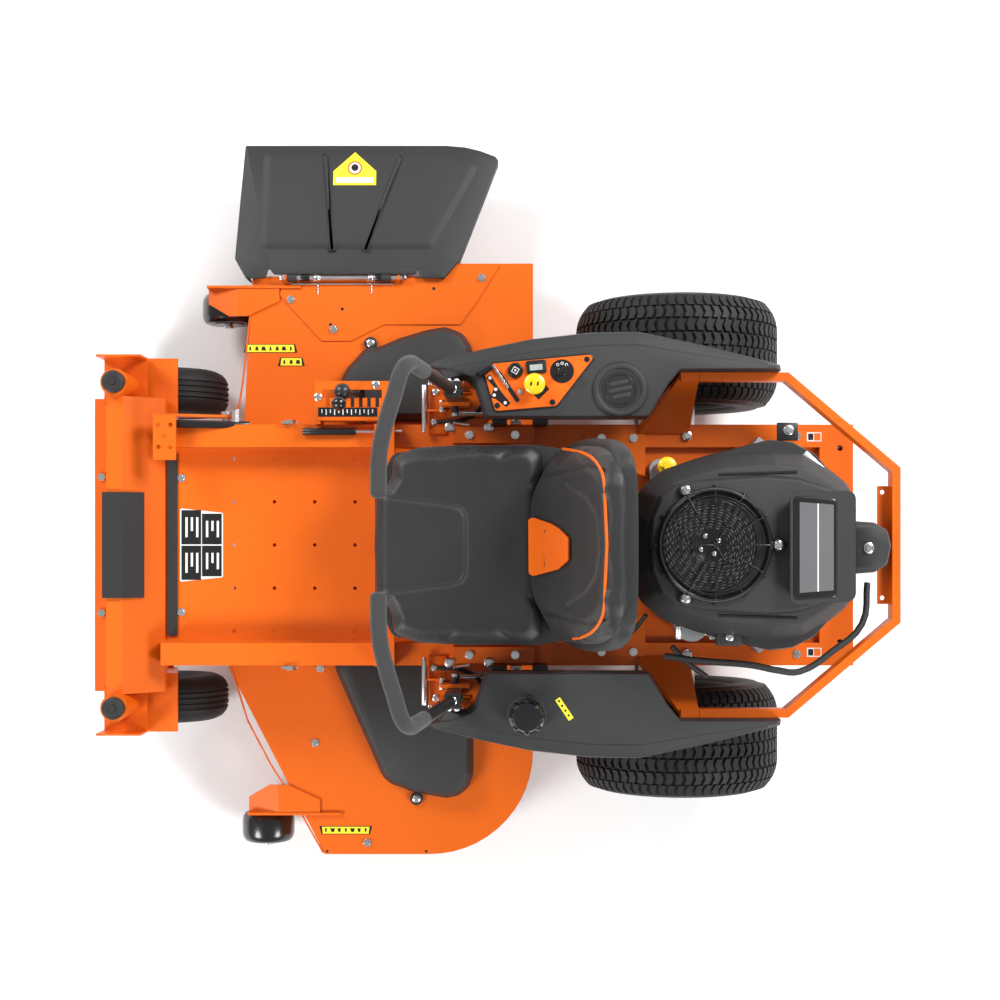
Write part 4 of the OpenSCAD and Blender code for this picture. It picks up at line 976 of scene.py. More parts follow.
@dataclass
class DeckDressing:
    """The belt covers and the small fittings on the deck's top."""

    finishes: Finishes
    cover_height: float = 50.5

    def build_covers(self) -> None:
        """Builds the two moulded belt covers."""
        f = self.finishes
        left = shifted(
            [(-170, -227), (230, -227), (110, 44), (101, 61), (85, 74), (39, 91.5), (0, 100), (-42, 107.5),
             (-71, 102), (-95.5, 81), (-105.5, 51), (-105.5, -31)], BLADE_LEFT)
        right = shifted(
            [(-170, 102), (-105, -40), (-103, -67.5), (-81, -102), (-41, -117), (0.5, -110), (65.5, -91),
             (112.6, -70.5), (142, -70.5), (166, -42.5), (185, -23), (198, 2), (220, 102)], BLADE_RIGHT)
        top = DECK_TOP + self.cover_height
        layers = [(0.0, DECK_TOP + 0.5), (0.0, DECK_TOP + 8.0), (1.0, DECK_TOP + 12.0), (13.0, top - 4.0),
                  (15.0, top - 1.2), (18.0, top)]
        shape = Shape()
        for outline in (left, right):
            shape.dome(f.plastic, outline, layers, radius=34.0)
        for x, y in ((596.0, 586.0), (702.0, -466.0)):
            shape.turned(f.plastic, [(0.0, 0.0), (15.0, 0.0), (15.0, 8.0), (12.5, 10.0), (0.0, 10.0)],
                         (x, y, DECK_TOP + 0.5), steps=28)
            shape.bolt(f.zinc, (x, y, DECK_TOP + 11.0), 6.5)
        shape.piece("moulded_belt_covers", "deck", Slot.PLASTIC, ["belt_covers"])

    def strip_label(self, shape: Shape, centre: Flat, size: Flat, cells: int, height: float,
                    turn: float = 0.0) -> None:
        """Adds a yellow strip label with black ends and plain pictogram blocks.

        Args:
            shape: the shape to add to.
            centre: the middle of the label.
            size: its length and width.
            cells: the number of blocks printed on it.
            height: the height of the face under it.
            turn: its turn in degrees.
        """
        f = self.finishes
        length, width = size
        place = Matrix.Translation((*centre, 0.0)) @ Matrix.Rotation(math.radians(turn), 4, "Z")
        a, b = length / 2, width / 2
        shape.label(f.label_black, [(-a - 5, -b), (a + 5, -b), (a, b), (-a, b)], height, 0.4, place)
        shape.label(f.label, [(-a + 1, -b + 1.5), (a - 1, -b + 1.5), (a - 3, b - 1.5), (-a + 3, b - 1.5)],
                    height, 0.7, place)
        for k in range(cells):
            x = -a + 10.0 + (length - 20.0) * k / max(cells - 1, 1)
            w = 2.5 + 1.5 * (k % 3)
            shape.label(f.label_black, [(x - w, -b * 0.45), (x + w, -b * 0.45), (x + w * 0.4, b * 0.45),
                                        (x - w * 0.7, b * 0.4)], height, 0.9, place)

    def build_fittings(self) -> None:
        """Builds labels, plugs and seams on the deck."""
        f = self.finishes
        z = DECK_TOP
        shape = Shape()
        self.strip_label(shape, (760.0, 660.0), (112.0, 19.0), 7, z)
        self.strip_label(shape, (934.0, -455.0), (114.0, 20.0), 7, z, 180.0)
        self.strip_label(shape, (886.0, -424.0), (52.0, 20.0), 3, z, 180.0)
        for x, y in ((556.0, -593.0), (768.0, -546.0), (795.0, -510.0)):
            shape.turned(f.dark, [(0.0, 0.0), (3.6, 0.0), (3.6, 0.6), (0.0, 0.6)], (x, y, z + 3.0), steps=16)
        for x, y in ((803.0, 709.0), (574.0, 709.0)):
            shape.turned(f.dark, [(0.0, 0.0), (3.0, 0.0), (3.0, 0.6), (0.0, 0.6)], (x, y, z), steps=16)
        edge = [(812.0, 712.5), (1024.0, 287.0), (972.0, -615.0)]
        shape.hose(f.orange, [(x, y, z + 0.2) for x, y in edge], 2.2, 2)
        shape.piece("deck_labels", "deck", Slot.ORANGE)

    def build_hinge(self) -> None:
        """Builds the chute's hinge: the wire spring, its barrels and its end caps."""
        f = self.finishes
        y, z = DECK_RIGHT + 6.0, DECK_TOP + 14.0
        shape = Shape()
        for x in (624.0, 906.0):
            out = 1.0 if x > 700 else -1.0
            shape.rod(f.zinc, (x, y, z), (x + 5.0 * out, y, z), 8.5, 7.0, 20, 1.0)
        for x0, x1 in ((668.0, 690.0), (842.0, 864.0)):
            shape.rod(f.gloss, (x0, y, z), (x1, y, z), 8.2, None, 20, 1.0)
        wire = [(700.0, y + 14.0, DECK_TOP + 4.0), (700.0, y + 34.0, DECK_TOP + 4.5)]
        shape.rod(f.zinc, *wire, 1.8)
        shape.rod(f.zinc, (824.0, y + 14.0, DECK_TOP + 4.0), (824.0, y + 36.0, DECK_TOP + 4.5), 1.8)
        shape.rod(f.zinc, (650.0, y + 12.5, DECK_TOP + 5.5), (886.0, y + 12.5, DECK_TOP + 5.5), 2.0)
        for x in (700.0, 824.0):
            shape.spring(f.zinc, (x - 8.0, y, z), (x + 8.0, y, z), 7.4, 1.3, 5)
        shape.piece("chute_spring", "deck", Slot.ZINC)

    def build(self) -> None:
        """Builds everything on the deck."""
        self.build_covers()
        self.build_fittings()
        self.build_hinge()


@dataclass
class Chute:
    """The moulded discharge chute that hinges on the deck's side."""

    finishes: Finishes
    slope: float = 0.2277
    hinge_y: float = DECK_RIGHT + 7.0
    top: float = DECK_TOP + 18.0

    def lean(self, point: Vector) -> Vector:
        """Drops a point with the slope of the chute.

        Args:
            point: a point drawn as on a level chute.

        Returns:
            The point on the sloping chute.
        """
        out = self.hinge_y - point.y
        return Vector((point.x, point.y, point.z - self.slope * out))

    def plan(self) -> list[Flat]:
        """Returns the outline of the chute's top."""
        far = DECK_RIGHT - 317.0
        near = self.hinge_y
        return [(532, near), (499, DECK_RIGHT - 32), (406, far + 38), (414, far + 27), (450, far + 13),
                (485, far + 4), (530, far), (1001, far), (1016, DECK_RIGHT - 40), (1001, DECK_RIGHT - 14),
                (989, near), (943, near), (937, DECK_RIGHT - 20), (925, DECK_RIGHT - 2.5),
                (599, DECK_RIGHT - 2.5), (593, DECK_RIGHT - 20), (587, near)]

    def ridge(self, shape: Shape, start: Flat, end: Flat, wide: float, narrow: float, height: float) -> None:
        """Adds a tapered moulded rib.

        Args:
            shape: the shape to add to.
            start: its wide end.
            end: its narrow end.
            wide: its width at the start.
            narrow: its width at the end.
            height: its height.
        """
        a, b = Vector(start), Vector(end)
        side = Vector((-(b - a).y, (b - a).x)).normalized()
        outline = [tuple(a - side * wide / 2), tuple(b - side * narrow / 2), tuple(b + side * narrow / 2),
                   tuple(a + side * wide / 2)]
        shape.dome(self.finishes.plastic, outline, [(0.0, self.top - 0.5), (wide * 0.28, self.top + height),
                    (wide * 0.34, self.top + height + 0.3)])

    def build(self) -> None:
        """Builds the chute."""
        f, t = self.finishes, self.top
        plan = rounded(self.plan(), [2, 6, 8, 10, 12, 14, 14, 5, 5, 8, 6, 6, 8, 8, 8, 8, 6])
        shape = Shape()
        shape.dome(f.plastic, plan, [(2.0, t - 6.5), (0.0, t - 5.0), (0.0, t - 3.0), (0.8, t - 1.0),
                                     (2.8, t)])
        far = DECK_RIGHT - 317.0
        panel = [(560, DECK_RIGHT - 62), (452, far + 52), (480, far + 26), (535, far + 16), (958, far + 14),
                 (962, DECK_RIGHT - 62)]
        shape.dome(f.plastic, panel, [(0.0, t - 0.5), (2.0, t + 0.8), (14.0, t + 5.0), (16.0, t + 5.4)],
                   radius=24.0)
        for start, end in (((790, DECK_RIGHT - 54), (812, far + 20)),
                           ((716, DECK_RIGHT - 54), (634, far + 24))):
            self.ridge(shape, start, end, 22.0, 6.0, 8.5)
        near, low = self.hinge_y, t - 62.0
        front = [(988, near), (1001, DECK_RIGHT - 14), (1016, DECK_RIGHT - 40), (1001, far + 1),
                 (995, far + 1), (1009, DECK_RIGHT - 40), (995, DECK_RIGHT - 16), (982, near)]
        rear = [(538, near), (505, DECK_RIGHT - 32), (414, far + 38), (407, far + 38), (499, DECK_RIGHT - 32),
                (532, near)]
        for wall in (front, rear):
            shape.prism(f.plastic, wall[::-1], low, t - 4.0, 0.8)
        for x in (645.0, 863.0):
            shape.turned(f.plastic, [(5.1, 0.0), (9.0, 0.0), (9.0, 22.0), (5.1, 22.0)], (x + 9.0, 0.0, 0.0),
                         Axis.X, 24)
        shape.piece("moulded_chute", "chute", Slot.PLASTIC, ["discharge_chute"], self.lean_barrels)
        self.build_label()

    def lean_barrels(self, point: Vector) -> Vector:
        """Leans the chute's skin and moves the barrels, drawn round zero, to the hinge.

        Args:
            point: a drawn point.

        Returns:
            Its final place.
        """
        if abs(point.y) < 20.0 and abs(point.z) < 20.0:
            return point + Vector((0.0, DECK_RIGHT + 6.0, DECK_TOP + 14.0))
        return self.lean(point)

    def build_label(self) -> None:
        """Builds the house-shaped label, with a plain pictogram."""
        f, t = self.finishes, self.top + 5.3
        shape = Shape()
        cx, cy = 742.0, -872.0
        house = [(cx - 47, cy + 30), (cx - 47, cy), (cx, cy - 44), (cx + 47, cy), (cx + 47, cy + 30)][::-1]
        shape.label(f.label_black, house, t, 0.5)
        shape.label(f.label, moved_in(house, 3.0), t, 0.9)
        shape.label(f.label_white, [(cx - 43, cy + 14), (cx - 43, cy + 27), (cx + 43, cy + 27),
                                    (cx + 43, cy + 14)][::-1],
                    t, 1.2)
        shape.label(f.orange_trim, circle((cx, cy - 9), 17.0), t, 1.2)
        shape.label(f.label_white, circle((cx, cy - 9), 13.5), t, 1.5)
        shape.label(f.label_black, circle((cx, cy - 10), 8.5, 12), t, 1.8)
        shape.piece("chute_label", "chute", Slot.PLASTIC, (), self.lean)


# ---- Fenders ----

FENDER_TOP = 545.0
FENDER_FOOT = 475.0


@dataclass
class Fenders:
    """The two moulded fenders: the fuel tank on the left and the console on the right."""

    finishes: Finishes
    filler: Flat = (347.0, 357.0)

    def outlines(self) -> tuple[list[Flat], list[Flat]]:
        """Returns the fender's outline on the left side, and the outline of its flat top."""
        pairs = [((90, 268), (93, 271), 10), ((435, 268), (431, 271), 14), ((448, 308), (441, 311), 40),
                 ((458, 337), (450, 341), 24), ((476, 351), (462, 354), 26), ((516, 348), (482, 360), 20),
                 ((534, 372), (492, 364), 12), ((554, 378), (498, 369), 4), ((540, 388), (486, 374), 16),
                 ((445, 412), (430, 384), 60), ((340, 434), (336, 402), 80), ((214, 448), (214, 415), 80),
                 ((109, 450), (112, 417), 80), ((-17, 424), (-8, 398), 60), ((-164, 387), (-156, 377), 20),
                 ((-188, 380), (-176, 374), 4), ((-190, 366.5), (-178, 370), 3), ((24, 366.5), (26, 370), 12),
                 ((48, 338), (51, 341), 12)]
        outer = rounded([pair[0] for pair in pairs], [pair[2] for pair in pairs])
        inner = rounded([pair[1] for pair in pairs], [pair[2] for pair in pairs])
        return outer, inner

    def draw_body(self, shape: Shape) -> None:
        """Draws the crowned fender.

        Args:
            shape: the shape to add to.
        """
        outer, inner = self.outlines()
        top = FENDER_TOP
        layers = [(0.0, FENDER_FOOT), (0.0, top - 22.0), (0.07, top - 15.0), (0.80, top - 3.6),
                  (0.90, top - 3.4), (0.95, top - 0.6), (1.0, top)]
        with shape.solid(self.finishes.plastic) as bm:
            rings = []
            for share, height in layers:
                rings.append(ring_of(bm, [(a[0] + (b[0] - a[0]) * share, a[1] + (b[1] - a[1]) * share, height)
                                          for a, b in zip(outer, inner)]))
            close_stack(bm, rings)

    def draw_posts(self, shape: Shape) -> None:
        """Draws the two posts that stand on the side rail.

        Args:
            shape: the shape to add to.
        """
        for x in (300.0, 388.0):
            shape.block(self.finishes.plastic, (x, 259.0, 376.0), (x + 32.0, 274.0, FENDER_FOOT + 8.0), 2.0)

    def build_tank(self) -> None:
        """Builds the left fender with its fuel tank, its filler neck and its label."""
        f = self.finishes
        shape = Shape()
        self.draw_body(shape)
        self.draw_posts(shape)
        tank = rounded([(250, 273), (430, 273), (430, 420), (250, 436)], 18.0)
        shape.dome(f.plastic, tank, [(6.0, 391.0), (0.0, 397.0), (0.0, FENDER_FOOT + 4.0)])
        shape.turned(f.plastic, [(24.0, -6.0), (42.0, -6.0), (42.0, 1.0), (40.0, 4.0), (33.0, 6.0),
                                 (27.0, 13.0), (24.0, 13.0)], (*self.filler, FENDER_TOP), steps=48)
        place = Matrix.Translation((268.0, 344.0, 0.0)) @ Matrix.Rotation(math.radians(124), 4, "Z")
        shape.label(f.label, rounded([(-26, -6), (26, -6), (26, 6), (-26, 6)], 1.0), FENDER_TOP, 0.6, place)
        for k in range(4):
            x = -20.0 + 12.0 * k
            shape.label(f.label_black, circle((x, 0.0), 2.6, 8), FENDER_TOP, 0.9, place)
        shape.piece("tank_fender", "chassis", Slot.PLASTIC, ["fuel_tank"])

    def build_cap(self) -> None:
        """Builds the fuel cap with its ribbed grip."""
        f = self.finishes
        shape = Shape()
        base = FENDER_TOP + 14.3
        shape.turned(f.gloss, [(0.0, -10.0), (18.5, -10.0), (18.5, 0.0), (37.0, 0.0), (38.0, 2.0),
                               (38.0, 6.0),
                               (34.0, 7.5), (33.0, 24.0), (29.0, 30.0), (20.0, 32.0), (0.0, 31.0)],
                     (*self.filler, base), steps=48)
        for k in range(8):
            a = math.tau * k / 8
            middle = (self.filler[0] + 32.0 * math.cos(a), self.filler[1] + 32.0 * math.sin(a))
            shape.dome(f.gloss, circle(middle, 7.2, 14),
                       [(0.0, base + 6.0), (0.0, base + 20.0), (1.2, base + 26.0), (3.5, base + 28.5)])
        shape.piece("ribbed_fuel_cap", "fuel_cap", Slot.PLASTIC, ["fuel_cap"])

    def build(self) -> None:
        """Builds both fenders and the fuel cap."""
        self.build_tank()
        self.build_cap()
        Console(self.finishes, self).build()


@dataclass
class Console:
    """The right fender with its cup holder and its control panel."""

    finishes: Finishes
    fenders: Fenders
    panel_z: float = FENDER_TOP + 4.0
    cup: Flat = (151.0, -326.0)

    def build_fender(self) -> None:
        """Builds the right fender; its body is drawn on the left and turned over."""
        f = self.finishes
        shape = Shape(mirrored=True)
        self.fenders.draw_body(shape)
        self.fenders.draw_posts(shape)
        place = Matrix.Translation((self.cup[0], -self.cup[1], FENDER_TOP))
        with shape.solid(f.plastic, place) as bm:
            spin_profile(bm, [(0.0, 1.2), (39.0, 1.2), (43.5, 1.4), (44.5, 4.0), (47.0, 6.0), (53.0, 6.2),
                              (56.0, 4.5), (58.0, 0.0), (58.0, -1.0), (0.0, -1.0)], 56)
        shape.piece("console_fender_moulded", "chassis", Slot.PLASTIC, ["console_fender"])

    def build_cup(self) -> None:
        """Builds the inside of the cup holder."""
        f = self.finishes
        shape = Shape()
        at = (self.cup[0], self.cup[1], FENDER_TOP)
        # A near-black disc on the flat cup floor: painted shade standing in for the cup holder's depth.
        shape.turned(f.dark, [(0.0, 1.4), (38.5, 1.4), (38.5, 2.2), (0.0, 2.2)], at, steps=48)
        shape.turned(f.gloss, [(30.0, 2.0), (32.0, 2.0), (32.0, 2.8), (30.0, 2.8)], at, steps=48)
        slant = Matrix.Translation((at[0], at[1], 0.0)) @ Matrix.Rotation(math.radians(12), 4, "Z")
        for k, half in ((-1, 20.0), (0, 25.0), (1, 20.0)):
            bar = [(-half, 14.0 * k - 4.5), (half, 14.0 * k - 4.5), (half, 14.0 * k + 4.5),
                   (-half, 14.0 * k + 4.5)]
            shape.dome(f.plastic, bar, [(0.0, at[2] + 1.0), (0.0, at[2] + 3.0), (1.5, at[2] + 4.0)], slant,
                       radius=4.4)
        shape.piece("cup_holder_floor", "chassis", Slot.PLASTIC)

    def build(self) -> None:
        """Builds the console."""
        self.build_fender()
        self.build_cup()
        self.build_panel()
        self.build_key()
        self.build_knob()
        self.build_choke()

    def dial(self, shape: Shape, centre: Flat, radius: float) -> None:
        """Adds the ignition's printed dial with three plain marks.

        Args:
            shape: the shape to add to.
            centre: its middle.
            radius: its radius.
        """
        f, z = self.finishes, self.panel_z
        shape.turned(f.label_black, [(0.0, 0.0), (radius, 0.0), (radius, 1.0), (0.0, 1.2)], (*centre, z),
                     steps=40)
        for turn in (-56.0, -90.0, -124.0):
            a = math.radians(turn)
            at = (centre[0] + 0.66 * radius * math.cos(a), centre[1] + 0.66 * radius * math.sin(a))
            shape.label(f.label_white, circle(at, 3.4, 12), z + 1.0, 0.5)
            shape.label(f.label_black, circle(at, 1.9, 8), z + 1.4, 0.5)
        shape.turned(f.gloss, [(0.0, 0.0), (9.0, 0.0), (9.0, 2.6), (7.5, 3.6), (0.0, 3.6)],
                     (*centre, z + 0.6), steps=32)

    def build_panel(self) -> None:
        """Builds the control panel and what is fixed to it."""
        f, z = self.finishes, self.panel_z
        shape = Shape()
        sheet = [(208, -391), (214, -399), (418, -380), (435, -357), (414, -284), (408, -281), (289, -291),
                 (283, -294)]
        shape.dome(f.label_black, rounded(moved_in(sheet, -3.0), 5.0),
                   [(0.0, z - 5.0), (0.0, z - 2.6), (1.0, z - 2.2)])
        shape.dome(f.orange_trim, rounded(sheet, 6.0), [(0.0, z - 4.0), (0.0, z - 1.0), (1.0, z)])
        for at in ((221.0, -389.0), (293.0, -299.0), (409.0, -292.0)):
            shape.turned(f.gloss, [(0.0, 0.0), (6.0, 0.0), (6.0, 1.2), (3.0, 2.0), (0.0, 0.8)], (*at, z),
                         steps=20)
        shape.bolt(f.zinc, (360.0, -321.0, z), 4.2)
        self.dial(shape, (273.0, -364.0), 25.0)
        meter = Matrix.Translation((327.0, -373.0, 0.0)) @ Matrix.Rotation(math.radians(5), 4, "Z")
        shape.prism(f.label_black, rounded([(-21, -14), (21, -14), (21, 14), (-21, 14)], 4.0), z - 1.0,
                    z + 4.0, 1.2, place=meter)
        shape.label(f.screen, rounded([(-13, -5), (14, -5), (14, 7), (-13, 7)], 1.0), z + 4.0, 0.4, meter)
        diamond = Matrix.Translation((322.0, -327.0, 0.0)) @ Matrix.Rotation(math.radians(45), 4, "Z")
        shape.label(f.label_black, rounded([(-16, -16), (16, -16), (16, 16), (-16, 16)], 2.0), z, 0.5,
                    diamond)
        shape.turned(f.gloss, [(0.0, 0.0), (16.5, 0.0), (16.5, 5.0), (14.0, 8.5), (0.0, 9.0)],
                     (371.0, -365.0, z), steps=40)
        mark = Matrix.Translation((371.0, -365.0, 0.0)) @ Matrix.Rotation(math.radians(-30), 4, "Z")
        shape.label(f.label_white, [(-6.5, -6.5), (6.5, -6.5), (6.5, 6.5), (-6.5, 6.5)], z + 8.9, 0.3, mark)
        shape.label(f.label_black, [(-5, -5), (5, -5), (5, 5), (-5, 5)], z + 9.0, 0.4, mark)
        shape.label(f.label_white, [(-2, -2), (2, -2), (2, 2), (-2, 2)], z + 9.2, 0.4, mark)
        # The throttle's slot is not cut; this dark strip is painted shade where the slot opens.
        slot = Matrix.Translation((386.0, -332.0, 0.0)) @ Matrix.Rotation(math.radians(124), 4, "Z")
        shape.label(f.dark, rounded([(-38, -4.5), (38, -4.5), (38, 4.5), (-38, 4.5)], 4.0), z, 0.5, slot)
        strip = [(424, -358), (432, -350), (415, -330), (424, -309), (412, -306), (390, -289), (381, -297),
                 (404, -326)]
        shape.label(f.label_black, strip[::-1], z, 0.5)
        for at in ((424.0, -350.0), (412.0, -326.0), (415.0, -314.0), (392.0, -298.0)):
            shape.label(f.label_white, circle(at, 3.6, 8), z, 0.9)
        shape.piece("panel_fittings", "chassis", Slot.ORANGE, ["console_panel"])

    def build_key(self) -> None:
        """Builds the ignition key."""
        f = self.finishes
        shape = Shape()
        z = self.panel_z + 4.0
        place = Matrix.Translation((273.0, -364.0, 0.0)) @ Matrix.Rotation(math.radians(35), 4, "Z")
        shape.prism(f.gloss, rounded([(-14, -2.6), (14, -2.6), (14, 2.6), (-14, 2.6)], 2.2), z + 7.0,
                    z + 30.0, 1.4, place=place)
        shape.block(f.zinc, (-4.0, -1.2, z - 3.0), (4.0, 1.2, z + 8.0), 0.3, place)
        shape.piece("key_bow", "key", Slot.ZINC, ["ignition_key"])

    def build_knob(self) -> None:
        """Builds the yellow blade-clutch knob."""
        f, z = self.finishes, self.panel_z
        shape = Shape()
        shape.turned(f.gloss, [(0.0, 1.0), (12.5, 1.0), (12.5, 7.0), (9.0, 9.0), (0.0, 9.0)],
                     (326.0, -331.0, z), steps=32)
        shape.turned(f.yellow, [(0.0, 8.0), (9.0, 8.0), (10.0, 17.0), (19.0, 21.0), (22.0, 25.0),
                                (22.0, 29.0),
                                (18.0, 32.0), (9.0, 33.5), (0.0, 33.0)], (331.0, -335.0, z), steps=40)
        for x in (324.0, 338.0):
            shape.label(f.gloss, [(x - 2, -340), (x + 2, -338), (x + 3, -330), (x - 1, -331)], z + 33.0, 0.5)
        shape.piece("clutch_knob", "pto", Slot.YELLOW, ["pto_knob"])

    def build_choke(self) -> None:
        """Builds the throttle lever's black handle and its bright stem."""
        f = self.finishes
        shape = Shape()
        z = self.panel_z
        turn = Matrix.Translation((392.0, -338.0, 0.0)) @ Matrix.Rotation(math.radians(124), 4, "Z")
        shape.block(f.zinc, (-46.0, -2.4, z + 3.0), (12.0, 2.4, z + 6.0), 1.0, turn)
        shape.block(f.zinc, (-4.0, -2.4, z - 14.0), (4.0, 2.4, z + 5.0), 1.0, turn)
        grip = Matrix.Translation((435.0, -364.0, 0.0)) @ Matrix.Rotation(math.radians(32), 4, "Z")
        handle = [(-20, -6), (18, -8), (18, 8), (-20, 6)]
        shape.dome(f.gloss, handle, [(1.5, z + 3.0), (0.0, z + 5.0), (0.0, z + 12.0), (3.0, z + 15.0)], grip,
                   radius=5.0)
        shape.piece("throttle_handle", "choke", Slot.PLASTIC, ["choke_lever"])


# ---- Engine ----

SHROUD_TOP = 673.0
SHROUD_FOOT = 523.0
CRANK = (-20.0, 0.0)
GUARD = (-30.0, 0.0)


@dataclass
class Engine:
    """The engine's moulded shroud, its fan guard, its plates and its pipes."""

    finishes: Finishes
    spokes: int = 12
    ring_radius: float = 118.0

    def shroud_outline(self) -> list[Flat]:
        """Returns the shroud's outline at its foot."""
        half = [(118, 0), (116, 60), (96, 112), (66, 150), (20, 172), (-30, 186), (-96, 204), (-157, 219),
                (-204, 214), (-250, 190), (-286, 150), (-304, 118), (-312, 70)]
        other = [(x, -y) for x, y in reversed(half[1:])]
        return rounded([(x, y) for x, y in half + [(-314, 0)] + other], 26.0, 4)

    def ridge_outline(self) -> list[Flat]:
        """Returns the outline of the shroud's flat top."""
        half = [(106, 0), (103, 50), (84, 96), (48, 126), (-10, 146), (-49, 157), (-157, 164), (-214, 158),
                (-262, 128), (-292, 104)]
        other = [(x, -y) for x, y in reversed(half[1:])]
        return rounded([(x, y) for x, y in half + [(-298, 0)] + other], 20.0, 4)

    def loft(self, shape: Shape, rings: Sequence[tuple[Sequence[Flat], float]]) -> None:
        """Adds a closed skin through outlines at several heights.

        Args:
            shape: the shape to add to.
            rings: (outline, height) from the foot up; each outline has as many points.
        """
        with shape.solid(self.finishes.plastic) as bm:
            loops = []
            for outline, height in rings:
                loops.append(ring_of(bm, [(x, y, height) for x, y in outline]))
            close_stack(bm, loops)

    def build_shroud(self) -> None:
        """Builds the shroud with its raised plateau, ridges and snout."""
        f, top = self.finishes, SHROUD_TOP
        shape = Shape()
        foot, ridge = self.shroud_outline(), self.ridge_outline()
        self.loft(shape, [(foot, SHROUD_FOOT), (foot, SHROUD_FOOT + 54.0),
                          (moved_in(foot, 3.0), SHROUD_FOOT + 66.0)])
        self.loft(shape, [(moved_in(ridge, -34.0), SHROUD_FOOT + 60.0), (moved_in(ridge, -22.0), top - 54.0),
                          (moved_in(ridge, -3.0), top - 22.0), (ridge, top - 17.0),
                          (moved_in(ridge, 4.0), top - 15.0)])
        plateau = rounded(
            [(98, 0), (94, 52), (76, 96), (48, 118), (0, 126), (-60, 132), (-132, 137), (-200, 132),
             (-273, 108),
             (-288, 60), (-290, 0), (-288, -60), (-273, -108), (-200, -132), (-132, -137), (-60, -132),
             (0, -126), (48, -118), (76, -96), (94, -52)], 12.0, 3)
        shape.dome(f.plastic, plateau, [(-7.0, top - 19.0), (0.0, top - 3.0), (1.5, top - 0.8), (4.0, top)])
        # The grooves are thin near-black sheets: painted shade where the recessed grooves fall dark.
        for y in (-1.0, 1.0):
            groove = [(-40, 141 * y), (-200, 146 * y), (-200, 151 * y), (-40, 146 * y)]
            shape.dome(f.dark, groove if y > 0 else groove[::-1], [(0.0, top - 16.0), (0.0, top - 13.5)])
        snout = rounded([(-305, 60), (-360, 56), (-386, 40), (-394, 0), (-386, -30), (-360, -46),
                         (-305, -50)][::1],
                        18.0)
        shape.dome(f.plastic, snout, [(0.0, top - 92.0), (0.0, top - 30.0), (4.0, top - 20.0),
                                      (10.0, top - 16.0)])
        lid = rounded([(-300, 104), (-186, 112), (-186, -100), (-300, -100)], 10.0)
        shape.dome(f.plastic, lid, [(-4.0, top - 20.0), (0.0, top + 20.0), (4.0, top + 30.0),
                                    (9.0, top + 33.0)])
        shape.piece("engine_shroud", "chassis", Slot.PLASTIC, ["blower_housing", "air_cleaner"])

    def build_guard(self) -> None:
        """Builds the fan guard: its ring, its spokes and its middle rings."""
        f, top = self.finishes, SHROUD_TOP
        shape = Shape()
        r = self.ring_radius
        at = (*GUARD, top)
        shape.turned(f.gloss, [(r - 13.0, -3.0), (r - 1.0, -3.0), (r - 1.0, 7.0), (r - 3.0, 15.0),
                               (r - 6.0, 18.0), (r - 9.0, 17.0), (r - 13.0, 9.0)], at, steps=96)
        for radius in (r - 19.0, r - 25.0, 70.0, 40.0):
            shape.turned(f.gloss, [(radius - 1.2, 13.0), (radius + 1.2, 13.0), (radius + 1.2, 16.0),
                                   (radius - 1.2, 16.0)], at, steps=72)
        shape.turned(f.gloss, [(0.0, 12.0), (6.0, 12.0), (6.0, 17.0), (0.0, 18.0)], at, steps=24)
        for k in range(self.spokes):
            a = math.tau * k / self.spokes
            place = Matrix.Translation(at) @ Matrix.Rotation(a, 4, "Z")
            inner = 3.0 if k % 2 == 0 else 34.0
            shape.block(f.gloss, (inner, -1.5, 13.0), (r - 8.0, 1.5, 18.0), 0.8, place)
            shape.block(f.gloss, (r - 4.0, -3.5, -2.0), (r + 4.0, 3.5, 8.0), 1.2, place)
        for x, y in ((29.0, -110.0), (29.0, 108.0), (-159.0, 0.0)):
            shape.turned(f.plastic, [(0.0, -3.0), (15.0, -3.0), (15.0, 5.0), (12.0, 9.0), (0.0, 9.0)],
                         (x, y, top), steps=32)
            shape.bolt(f.zinc, (x, y, top + 10.0), 7.0)
        shape.piece("fan_guard_moulded", "chassis", Slot.PLASTIC, ["fan_guard"])

    def build_screen(self) -> None:
        """Builds the turning screen under the guard."""
        f = self.finishes
        shape = Shape()
        at = (*CRANK, SHROUD_TOP + 1.0)
        shape.turned(f.gloss, [(0.0, 1.0), (30.0, 1.0), (33.0, 3.0), (94.0, 3.0), (95.0, 2.0), (95.0, 0.0),
                               (0.0, 0.0)],
                     at, steps=72)
        with shape.solid(f.label_grey, Matrix.Translation(at), smooth=False) as bm:
            for ring in range(11):
                radius = 36.0 + 5.4 * ring
                count = int(radius * 0.42)
                for k in range(count):
                    a0 = math.tau * (k + 0.37 * ring) / count
                    a1 = a0 + math.tau * 0.5 / count
                    corners = [(radius, a0), (radius + 2.0, a0), (radius + 2.0, a1), (radius, a1)]
                    bm.faces.new([bm.verts.new((r * math.cos(a), r * math.sin(a), 3.4)) for r, a in corners])
        for k in range(4):
            a = math.tau * (k + 0.3) / 4
            shape.bolt(f.zinc, (at[0] + 20.0 * math.cos(a), at[1] + 20.0 * math.sin(a), at[2] + 2.0), 4.0)
        shape.piece("fan_screen_punched", "crank", Slot.ZINC, ["fan_screen"])

